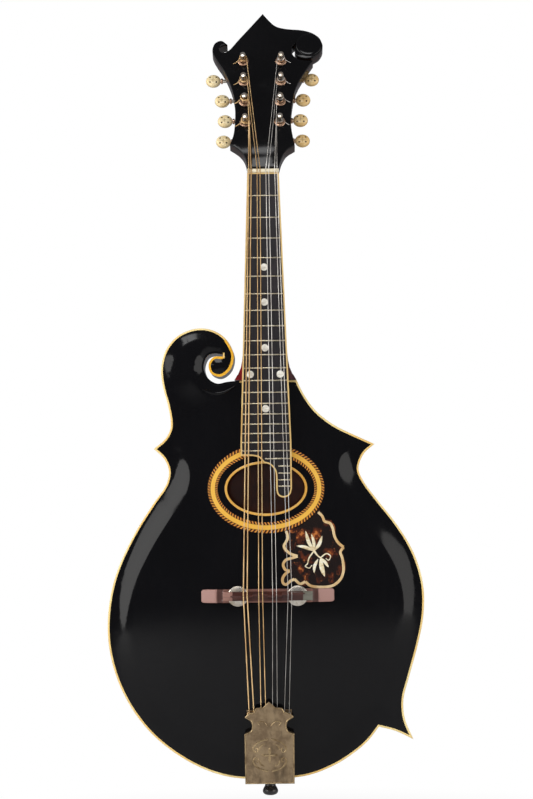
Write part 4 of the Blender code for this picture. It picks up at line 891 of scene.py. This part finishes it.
# Nut: a bar of yellowed ivory at the board's end, filed with a narrow slot for each string.
STRING_X = ((16.5, 19.9, 11.9), (12.6, 16.8, 9.9), (6.7, 7.3, 4.9), (2.8, 4.1, 2.45))
RADII = {"b": (0.5, 0.5, 0.35, 0.35), "t": (0.2, 0.2, 0.22, 0.22)}
nut_look = aged_ivory("nut_ivory", (0.86, 0.80, 0.62), (0.74, 0.62, 0.40), 0.28)
x = np.linspace(-13.3, 13.3, 267)
slots = [(side * row[2], RADII[mark][i]) for mark, side in (("b", -1), ("t", 1)) for i, row in enumerate(STRING_X)]
dip = sum(np.exp(-((x - at_x) / (r + 0.18)) ** 4) for at_x, r in slots) * 0.75
back = float(board_face(0, NUT)) + BOARD_THICK
front = -19.6 + dip
section = np.array(((0.0, 1.0, 0.0), (0.0, 0.0, 0.7), (0.6, 0.0, 0.1), (1.5, 0.0, -0.05), (2.7, 0.0, 0.15),
                    (3.2, 0.0, 0.8), (3.2, 1.0, 0.0)))
rings = np.stack([x[:, None] + 0 * section[:, 0],
                  np.where(section[:, 1] > 0, back, front[:, None] + section[:, 2]),
                  NUT + section[:, 0] + 0 * x[:, None]], axis=2)
piece("slotted_nut", grid_shape(rings), nut_look, stands_for="nut")

# Bridge: a rosewood base carved to the arch and a stepped rosewood crest. The base is held by the strings
# alone, and the crest stands on two nickel thumbwheels.
BRIDGE_Z = 169.4


def rosewood(name, pale, dark):
    look = Look(name, Roughness=0.4, IOR=1.5)
    grain = look.noise(42, 6, 0.7, look.stretched((0.8, 5, 9)))
    pores = look.noise(700, 3, 0.6, look.stretched((0.08, 1, 1)))
    colour = look.mix(look.step(grain, 0.35, 0.68), pale, dark)
    colour = look.mix(0.5 * look.step(pores, 0.55, 0.7), colour, tuple(0.35 * c for c in dark))
    return look, colour, grain, pores


base_look, colour, grain, pores = rosewood("bridge_rosewood", (0.26, 0.115, 0.085), (0.15, 0.058, 0.042))
x, y, z = base_look.axes()
far = x.math("ABSOLUTE")
colour = base_look.mix(base_look.step(far, 41.6, 42.2), colour, (0.36, 0.195, 0.165))
colour = base_look.mix(base_look.step(far, 36.8, 37.2) * (far < 41.8), colour, (0.075, 0.025, 0.018))
base_look.finish(Base_Color=colour, Roughness=0.34 + 0.2 * grain, Normal=base_look.bump(pores, 0.08, 0.5))
reach, wide = 55.0, 5.5
feet = (((-reach, BRIDGE_Z - wide + 1.5), (-reach, BRIDGE_Z + wide - 1.5)),
        ((-reach, BRIDGE_Z + wide - 1.5), (-reach + 1.2, BRIDGE_Z + wide - 0.3), (-reach + 4, BRIDGE_Z + wide)),
        ((-reach + 4, BRIDGE_Z + wide), (reach - 4, BRIDGE_Z + wide)),
        ((reach - 4, BRIDGE_Z + wide), (reach - 1.2, BRIDGE_Z + wide - 0.3), (reach, BRIDGE_Z + wide - 1.5)),
        ((reach, BRIDGE_Z + wide - 1.5), (reach, BRIDGE_Z - wide + 1.5)),
        ((reach, BRIDGE_Z - wide + 1.5), (reach - 1.2, BRIDGE_Z - wide + 0.3), (reach - 4, BRIDGE_Z - wide)),
        ((reach - 4, BRIDGE_Z - wide), (-reach + 4, BRIDGE_Z - wide)),
        ((-reach + 4, BRIDGE_Z - wide), (-reach + 1.2, BRIDGE_Z - wide + 0.3), (-reach, BRIDGE_Z - wide + 1.5)))
BASE = outline(feet, 0, 0.1, 2.0)


def base_face(x, z):
    level = np.maximum(-41.0, top_face(x, z) - 3.2 - np.clip((55 - abs(x)) * 0.25, 0, 9))
    level = level + 0.9 * smoothstep((abs(x) - 37) / 0.6) * (1 - smoothstep((abs(x) - 42) / 0.6))
    far = np.clip(edge_distance(np.column_stack([x, z]), BASE) / 0.6, 0, 1)
    return level + 0.6 * (1 - np.sqrt(1 - (1 - far) ** 2))


piece("bridge_foot", slab([BASE], base_face, lambda x, z: top_face(x, z) - 0.12,
                          [outline(feet, d, 0.1, 2.0) for d in (0.08, 0.25, 0.6)], 1.2), base_look,
      stands_for="bridge_base")
crest_look, colour, grain, pores = rosewood("crest_rosewood", (0.075, 0.020, 0.013), (0.035, 0.010, 0.007))
x, y, z = crest_look.axes()
ends = crest_look.step(x.math("ABSOLUTE"), 28.6, 29.6)
block = crest_look.mix(x > 0, (0.27, 0.135, 0.105), (0.15, 0.145, 0.115))
colour = crest_look.mix(ends * (y > -47.4), colour, block)
crest_look.finish(Base_Color=colour, Roughness=0.30 + 0.2 * grain, Normal=crest_look.bump(pores, 0.08, 0.5))
x = np.linspace(-37, 37, 371)
rise = np.interp(abs(x), (0, 22, 29, 29.3, 37), (1, 1, 0.74, 0.60, 0.35))
shift = np.select([x < -12, x < 0, x < 12], [-0.9, 0.5, -0.6], 1.1)
for _ in range(3):
    shift[1:-1] = (shift[:-2] + 2 * shift[1:-1] + shift[2:]) / 4
front = -44.2 - 5.8 * rise
section = np.array(((-3.8, 0), (3.8, 0), (3.8, 1), (3.2, 2), (1.0, 3), (0.5, 4), (-0.4, 4), (-0.9, 3), (-3.2, 2),
                    (-3.8, 1)))
heights = np.stack([np.full(371, -44.2), np.full(371, -45.4), np.full(371, -46.0) + 0 * x, front + 0.5, front])
heights[2] = np.maximum(heights[2], front + 0.7)
kind = section[:, 1].astype(int)
offset = section[:, 0] + np.where(kind >= 3, shift[:, None] + 0.8, 0)
rings = np.stack([x[:, None] + 0 * section[:, 0], heights[kind].T, BRIDGE_Z + offset], axis=2)
piece("bridge_crest", grid_shape(rings), crest_look, "saddle", "bridge_saddle", sharp=28)


def plated(name, bright, dull, rough=0.2, scale=120):
    """Old plating: bright where it is rubbed, brown and dull in patches, with fine scratches."""
    look = Look(name, Metallic=1.0, Roughness=rough)
    patch = look.noise(scale, 5, 0.65)
    fine = look.noise(1400, 2, 0.6, look.stretched((1, 0.1, 1)))
    colour = look.mix(look.step(patch, 0.4, 0.68), bright, dull)
    return look.finish(Base_Color=colour, Roughness=rough + 0.3 * look.step(patch, 0.4, 0.8) + 0.06 * fine,
                       Normal=look.bump(fine, 0.02, 0.3))


nickel = plated("worn_nickel", (0.66, 0.62, 0.55), (0.40, 0.34, 0.26))
repaint(nickel, "bridge_stud_bass", "bridge_stud_treble")
turn = np.arange(240) * 2 * math.pi / 240
for mark, side in (("bass", -1), ("treble", 1)):
    knurl = 0.22 * (0.5 + 0.5 * np.cos(60 * turn))
    profile = np.array(((1.75, 0, 0), (1.75, 1.7, 0), (7.9, 1.7, 0), (8.5, 1.35, 1), (8.5, 0.35, 1), (7.9, 0, 0),
                        (1.75, 0, 0)))
    radius = profile[:, :1] - profile[:, 2:] * knurl
    rings = np.stack([side * 24.6 + radius * np.cos(turn), -43.9 + profile[:, 1:2] + 0 * turn,
                      BRIDGE_Z + radius * np.sin(turn)], axis=2)
    wheel_body = "wheel_bass" if side < 0 else "wheel_treble"
    piece(f"{mark}_thumbwheel", grid_shape(rings, False), nickel, wheel_body, f"thumbwheel_{mark}")

# Tailpiece: a stamped brass cover with a rolled rim and a generic engraved scroll, gone brown with age.
# It slides down off its base, whose eight hooks hold the strings.
COVER_RUNS = (
    ((-20.4, 14.0), (-20.6, 55.6)),
    ((-20.6, 55.6), (-15, 58.5), (-15, 65.5), (-20.4, 69.4)),
    ((-20.4, 69.4), (-16.8, 72.8), (-12.8, 73.6)),
    ((-12.8, 73.6), (-10.8, 77), (-5.6, 77.4)),
    ((-5.6, 77.4), (-3.4, 79.4), (-0.2, 82.4)),
    ((-0.2, 82.4), (3.2, 79.4), (5.4, 77.4)),
    ((5.4, 77.4), (10.6, 77), (12.8, 73.6)),
    ((12.8, 73.6), (16.8, 72.8), (20.4, 69.4)),
    ((20.4, 69.4), (15, 65.5), (15, 58.5), (20.6, 55.6)),
    ((20.6, 55.6), (20.4, 14.0)),
    ((20.4, 14.0), (-20.4, 14.0)),
)
COVER = outline(COVER_RUNS, 0, 0.1, 2.0)


def cover_plane(x, z):
    return -33.5 + (np.asarray(z, float) - 14) * (-40.6 + 33.5) / 68 + 0 * np.asarray(x)


def cover_face(x, z):
    """The cover's front: its plane with a rounded outer edge."""
    far = edge_distance(np.column_stack([x, z]), COVER)
    return cover_plane(x, z) + 0.45 * (1 - smoothstep(far / 0.8))


brass = Look("aged_brass", Metallic=1.0, Roughness=0.3)
patch = brass.noise(75, 6, 0.68)
streak = brass.noise(160, 4, 0.6, brass.stretched((1, 1, 0.25)))
x, y, z = brass.axes()
colour = brass.mix(brass.step(patch, 0.36, 0.66), (0.38, 0.28, 0.17), (0.22, 0.155, 0.095))
colour = brass.mix(0.6 * brass.step(streak, 0.5, 0.72), colour, (0.10, 0.075, 0.050))
brass.finish(Base_Color=colour, Roughness=0.24 + 0.30 * brass.step(patch, 0.35, 0.7) + 0.08 * streak,
             Normal=brass.bump(patch, 0.03, 0.3))
rolls = [outline(COVER_RUNS, d, 0.1, 2.0) for d in (0.12, 0.35, 0.7, 1.05, 1.4)]
piece("cover_face", slab([COVER], cover_face, lambda x, z: cover_plane(x, z) + 0.8, rolls, 2.6), brass, "cover",
      "tailpiece_cover", sharp=50)
w, n = 19.6, 14.2
hollow = np.array([(-w, 14.8), (-w, 55.2), (-n, 57.6), (-n, 66.2), (-w, 70), (-w, 90), (w, 90), (w, 70), (n, 66.2),
                   (n, 57.6), (w, 55.2), (w, 14.8)])
rest = lambda x, z: -RIM - 14 * np.clip(1 - ((np.asarray(z) - 170) / 165) ** 2, 0, None) - 0.3
piece("cover_sides", slab([outline(COVER_RUNS, 0.1, 0.1, 2.0), hollow], lambda x, z: cover_plane(x, z) + 0.5, rest),
      brass, "cover")
engraved = plated("rubbed_brass", (0.46, 0.34, 0.19), (0.22, 0.15, 0.08), 0.22)
curls = []
for side in (-1, 1):
    for up in (-1, 1):
        line = np.array(((1.5, 13.2), (6, 12.2), (11, 9.5), (13.6, 5.5), (12.4, 2.6), (9.8, 3.2), (10.2, 5.6),
                         (11.6, 5.4)))
        curls.append(ribbon(line * (side, up) + (0, 38), 0.75, cover_plane, 0.3, 0.5, stem, 0.2))
        curls.append(ribbon(((side * 4, 38 + up * 9.6), (side * 7.5, 38 + up * 7.2), (side * 8.4, 38 + up * 4)),
                            0.8, cover_plane, 0.3, 0.5, leaf, 0.15))
    curls.append(ribbon(((0, 38), (side * 3.5, 38.0), (side * 7, 38)), 1.1, cover_plane, 0.3, 0.5, leaf, 0.2))
    curls.append(ribbon(((side * 1, 62), (side * 5.5, 66), (side * 9.5, 65), (side * 8, 62.6)), 0.6, cover_plane,
                        0.3, 0.5, leaf, 0.12))
curls += [ribbon(((0, 38), (0, 38 + 3.2 * up), (0, 38 + 6.5 * up)), 1.1, cover_plane, 0.3, 0.5, leaf, 0.2)
          for up in (-1, 1)]
piece("cover_engraving", joined(curls), engraved, "cover")
piece("cover_rim", slab([outline(COVER_RUNS, 0.12, 0.1, 2.0), outline(COVER_RUNS, 1.2, 0.1, 2.0)],
                        lambda x, z: cover_plane(x, z) - 0.42 * np.sin(np.pi * np.clip(
                            (edge_distance(np.column_stack([x, z]), COVER) - 0.1) / 1.1, 0, 1)) ** 0.6 - 0.05,
                        lambda x, z: cover_plane(x, z) + 0.4,
                        [outline(COVER_RUNS, d, 0.1, 2.0) for d in (0.3, 0.66, 1.0)]), engraved, "cover", sharp=60)
repaint(brass, "tailpiece_base")

# End button: turned black plastic, pushed into the tail block on its pin.
button_look = Look("black_button", Roughness=0.2, IOR=1.5)
haze = button_look.noise(180, 4)
button_look.finish(Base_Color=button_look.mix(haze, (0.006, 0.006, 0.007), (0.022, 0.02, 0.02)),
                   Roughness=0.14 + 0.25 * haze)
head_part = smooth_line([(0, 0), (3.4, 0.25), (5.7, 1.5), (6.5, 3.6),
                         (5.7, 6.0), (4.6, 8.0), (4.4, 10), (4.7, 11.6)],
                        0.12, 0.8)
flange = [(5.9, 12.3), (6.1, 12.7), (6.1, 13.6), (5.9, 13.9), (3, 14.0), (3, 29.0), (2.2, 30.0), (0, 30.0)]
piece("end_pin", grid_shape(turned([*head_part, *flange])), button_look, stands_for="end_button")

# Tuners: geared posts in flanged ferrules, eight worms on their shafts and two lugged nickel plates.
# The plates are screwed to the back of the head.
POSTS = ((14.8, 44.6), (15.3, 64.7), (16.0, 84.8), (16.4, 104.9))
BUTTON_X = (33.9, 32.5, 35.0, 42.7)
GEAR_LEVEL = -19.5
LEAD = 2 * math.pi * 5.2 / 14
MARKS = [(mark, side, i) for mark, side in (("b", -1), ("t", 1)) for i in range(4)]
post_look = plated("post_nickel_worn", (0.72, 0.66, 0.58), (0.46, 0.36, 0.26), 0.16, 260)
gear_look = plated("gear_brass", (0.62, 0.45, 0.22), (0.34, 0.22, 0.10), 0.25, 200)
ferrule_look = plated("ferrule_copper", (0.62, 0.40, 0.27), (0.34, 0.19, 0.12), 0.22, 260)
POST = [(0, -22.3), (2.1, -22.3), (2.45, -21.9), (2.5, 3.2), (2.5, 6.4), (2.3, 7.0), (1.95, 8.2), (2.0, 9.2),
        (2.4, 9.9), (2.5, 10.4), (2.45, 11.1), (2.1, 11.6), (1.2, 11.85), (0, 11.9)]
turn = np.arange(210) * 2 * math.pi / 210
level = np.array((-1.7, -1.7, -1.45, 0, 1.45, 1.7, 1.7))
scale = np.array((0.42, 0.93, 1, 1, 1, 0.93, 0.42))
twist = LEAD / (2 * math.pi * 2.8) / 5.2
teeth = 5.0 + 0.85 * np.clip(-1.7 * np.cos(14 * (turn + math.pi / 2 - twist * level[:, None])), -1, 1)
gear = np.stack([teeth * scale[:, None] * np.cos(turn), teeth * scale[:, None] * np.sin(turn),
                 GEAR_LEVEL + level[:, None] + 0 * turn], axis=2)
FERRULE = [(2.75, -1.2), (2.75, 1.0), (2.95, 1.25), (3.3, 1.2), (3.55, 0.75), (4.3, 0.6), (4.6, 0.35), (4.6, -0.2),
           (2.75, -1.2)]
ferrules, axial = [], np.linspace(-1.9 * LEAD, 1.9 * LEAD, 118)
for mark, side, i in MARKS:
    x0, along = side * POSTS[i][0], POSTS[i][1]
    place = np.array((x0, along, 0))
    piece(f"post_{mark}{i + 1}", grid_shape(on_head(turned(POST, 40) + place)), post_look,
          f"post_{mark}{i + 1}", f"tuner_post_{mark}{i + 1}")
    piece(f"gear_{mark}{i + 1}", grid_shape(on_head(gear + place)), gear_look, f"post_{mark}{i + 1}", sharp=40)
    ferrules.append(grid_shape(on_head(turned(FERRULE, 48) + place), False))
piece("post_ferrules", joined(ferrules), ferrule_look)
worm_look = plated("worm_steel", (0.62, 0.57, 0.50), (0.40, 0.30, 0.20), 0.22, 260)


def worm_radius(axial, turn):
    """Radius of a worm at a place along it and an angle: its core, and a thread that stands out where the
    place along keeps step with the angle."""
    phase = axial / LEAD - (turn - math.pi) / (2 * math.pi) + 1.5
    far = abs(phase - np.round(phase)) * LEAD
    ends = 1 - smoothstep((abs(axial) - 1.35 * LEAD) / 0.8)
    return 1.9 + 1.65 * ends * (1 - smoothstep((far - 0.24) / 0.34))


turn = np.arange(48) * 2 * math.pi / 48
BUTTON = (6.45, 5.9, 3.4)
# Tuner buttons: one cream celluloid made as two copies. The bass side's paler copy is painted lit, and the treble
# side's darker amber copy is painted shade.
lit_and_shaded_buttons = {"b": ("button_cream_painted_lit_left", (0.90, 0.76, 0.46), (0.84, 0.64, 0.32)),
          "t": ("button_cream_painted_shade_right", (0.84, 0.62, 0.30), (0.74, 0.48, 0.18))}
looks = {}
for mark, (name, pale, deep) in lit_and_shaded_buttons.items():
    look = looks[mark] = Look(name, Roughness=0.2, IOR=1.5)
    u, v, _ = look.axes(look.flat)
    swirl = look.noise(150, 4, 0.6)
    colour = look.mix(look.step(swirl, 0.35, 0.65), pale, deep)
    far_u, far_v = (u.math("ABSOLUTE") - 0.44).math("ABSOLUTE"), (v.math("ABSOLUTE") - 0.40).math("ABSOLUTE")
    pip = look.step(far_u + far_v, 0.12, 0.17, 1, 0)
    radius = ((u * u) + (v * v)).math("SQRT")
    rim = look.step(radius, 0.90, 1.0, 0, 0.4)
    colour = look.mix(rim, colour, tuple(0.55 * c for c in deep))
    cross = look.step(u.math("ABSOLUTE") * v.math("ABSOLUTE"), 0.002, 0.012, 1, 0) * (radius < 0.5)
    colour = look.mix(0.55 * cross, colour, tuple(0.35 * c for c in deep))
    colour = look.mix(pip, colour, (0.03, 0.014, 0.006))
    look.finish(Base_Color=colour, Roughness=0.16 + 0.15 * swirl, Normal=look.bump(swirl, 0.04, 0.3))
tilt = np.linspace(-math.pi / 2, math.pi / 2, 61)[:, None]
spin = np.arange(96) * 2 * math.pi / 96
spread = np.cos(tilt) ** 0.6
u, v = spread * np.cos(spin), spread * np.sin(spin)
dents = 0.42 * np.exp(-(((abs(u) - 0.44) / 0.11) ** 2 + ((abs(v) - 0.40) / 0.11) ** 2) ** 1.5)
dents = dents + 0.25 * np.exp(-(u * v / 0.012) ** 2) * np.exp(-((u ** 2 + v ** 2) / 0.16) ** 2)
height = BUTTON[2] * np.sin(tilt) - np.sign(np.sin(tilt)) * dents
oval = np.stack([BUTTON[0] * u, BUTTON[1] * v, height], axis=2)
for mark, side, i in MARKS:
    x0, along = side * POSTS[i][0], POSTS[i][1] - 8.0
    place, body = np.array((x0, along, GEAR_LEVEL)), f"knob_{mark}{i + 1}"
    radius = worm_radius(axial[:, None], turn)
    thread = np.stack([axial[:, None] + 0 * turn, radius * np.cos(turn), radius * np.sin(turn)], axis=2)
    ends = sorted((-side * 7.3, side * (BUTTON_X[i] - 6.2 - abs(x0))))
    shaft = turned([(1.55, ends[0]), (1.55, ends[1])], 32)[..., [2, 0, 1]]
    collar = side * (BUTTON_X[i] - 7.4 - abs(x0))
    ringed = (turned([(1.5, -0.9), (2.3, -0.8), (2.5, 0), (2.3, 0.8), (1.5, 0.9)], 32)[..., [2, 0, 1]]
              + (collar, 0, 0))
    piece(f"worm_{mark}{i + 1}", joined([grid_shape(on_head(r + place)) for r in (thread, shaft)]), worm_look, body,
          f"tuner_worm_{mark}{i + 1}")
    piece(f"collar_{mark}{i + 1}", grid_shape(on_head(ringed + place)), ferrule_look, body)
    middle = np.array((side * BUTTON_X[i], along, GEAR_LEVEL))
    uv = np.stack([u, v], axis=2).reshape(-1, 2)
    piece(f"button_{mark}{i + 1}", grid_shape(on_head(oval + middle)), looks[mark], body,
          f"tuner_button_{mark}{i + 1}", uv)
plate_look = plated("plate_nickel_worn", (0.60, 0.55, 0.47), (0.38, 0.31, 0.23), 0.28, 90)
repaint(plate_look, "tuner_plate_bass", "tuner_plate_treble")
screws = []
for side in (-1, 1):
    for along in (26.2, 109.6):
        heads = turned([(0, -15.6), (0.9, -15.5), (1.7, -15.1), (1.9, -14.4), (1.9, -13.9), (0, -13.9)], 32)
        screws.append(grid_shape(on_head(heads + (side * 20.5, along, 0))))
piece("plate_screws", joined(screws), post_look)

# Strings: four pairs, bronze-wound on the bass side and plain steel on the treble side.
# Each runs from its hook over the crest and the nut to its post, with two and a half turns and a cut end.
def wire(path, radius, sides=10):
    """A round wire along a path: the way along and the angle round are its two parameters."""
    path = np.asarray(path, float)
    ahead = np.gradient(path, axis=0)
    ahead /= np.linalg.norm(ahead, axis=1)[:, None]
    out = np.array((0, -math.cos(LEAN), math.sin(LEAN)))
    side = np.cross(ahead, out)
    side /= np.linalg.norm(side, axis=1)[:, None]
    up = np.cross(side, ahead)
    turn = np.arange(sides) * 2 * math.pi / sides
    rings = path[:, None] + radius * (np.cos(turn)[:, None] * side[:, None] + np.sin(turn)[:, None] * up[:, None])
    points, faces = grid_shape(rings)
    gone = np.concatenate([[0], np.cumsum(np.linalg.norm(np.diff(path, axis=0), axis=1))])
    return points, faces, np.column_stack([np.repeat(gone, sides), np.tile(turn, len(path))])


def span(a, b, steps=24):
    return np.asarray(a, float) + (np.asarray(b, float) - a) * np.linspace(0, 1, steps)[:, None]


string_looks = {}
for mark, name, bright, dull, coil in (("b", "bronze_wound", (0.82, 0.58, 0.30), (0.50, 0.31, 0.14), 1),
                                       ("t", "plain_steel", (0.62, 0.60, 0.57), (0.36, 0.33, 0.30), 0.1)):
    look = string_looks[mark] = Look(name, Metallic=1.0, Roughness=0.3)
    tarnish = look.noise(60, 4, 0.65, look.stretched((1, 1, 0.5)))
    u, _, _ = look.axes(look.flat)
    turns = (u * (2 * math.pi / 0.32)).math("SINE")
    look.finish(Base_Color=look.mix(look.step(tarnish, 0.35, 0.7), bright, dull), Roughness=0.22 + 0.25 * tarnish,
                Normal=look.bump(turns, 0.05 * coil, 0.6 * coil))
for mark, side, i in MARKS:
    tail, crest, nut_x = (side * x for x in STRING_X[i])
    radius, name = RADII[mark][i], f"string_{mark}{i + 1}"
    lift = 0.3 + radius
    hook, over = (tail, -36.1, 73.0), (crest, -50.05 - radius, BRIDGE_Z + 0.8)
    first, last = (nut_x, -18.9 - lift, NUT + 0.4), (nut_x, -18.9 - lift, NUT + 3.3)
    loop = np.radians(np.linspace(-250, 90, 25))
    eye = np.stack([tail + 1.25 * np.cos(loop), -36.1 + 0 * loop, 71.8 + 1.25 * np.sin(loop)], axis=1)
    made = piece(f"{name}_tail", wire(np.vstack([eye, span(eye[-1], over)[1:]]), radius)[:2],
                 string_looks[mark], None, name, wire(np.vstack([eye, span(eye[-1], over)[1:]]), radius)[2])
    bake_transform(made)
    shape = wire(span(over, first, 60), radius)
    made = piece(f"{name}_span", shape[:2], string_looks[mark], None, name, shape[2])
    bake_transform(made)
    around, wrap, x0, along = np.linspace(0, 5 * math.pi, 121), 2.5 + 0.12 + radius, side * POSTS[i][0], POSTS[i][1]
    drop = (5.0, 8.6, 5.2, 6.4)[i] - (2 * radius + 0.08) * around / (2 * math.pi)
    coil = np.stack([x0 - side * wrap * np.cos(around), along + wrap * np.sin(around), drop], axis=1)
    end = coil[-1] + np.array(((side * 1.2, -2.5, 0.3), (side * 3.4, -5.0, 1.2), (side * 5.5, -6.2, 1.6)))
    coil = on_head(np.vstack([coil, end]))
    shape = wire(np.vstack([span(first, last, 3), span(last, coil[0], 14)[1:-1], coil]), radius)
    piece(f"{name}_winding", shape[:2], string_looks[mark], uv=shape[2])

size = {"cad": [[float(v) for v in corner] for corner in cad_box],
        "visual": [[float(v) for v in corner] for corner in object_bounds()]}
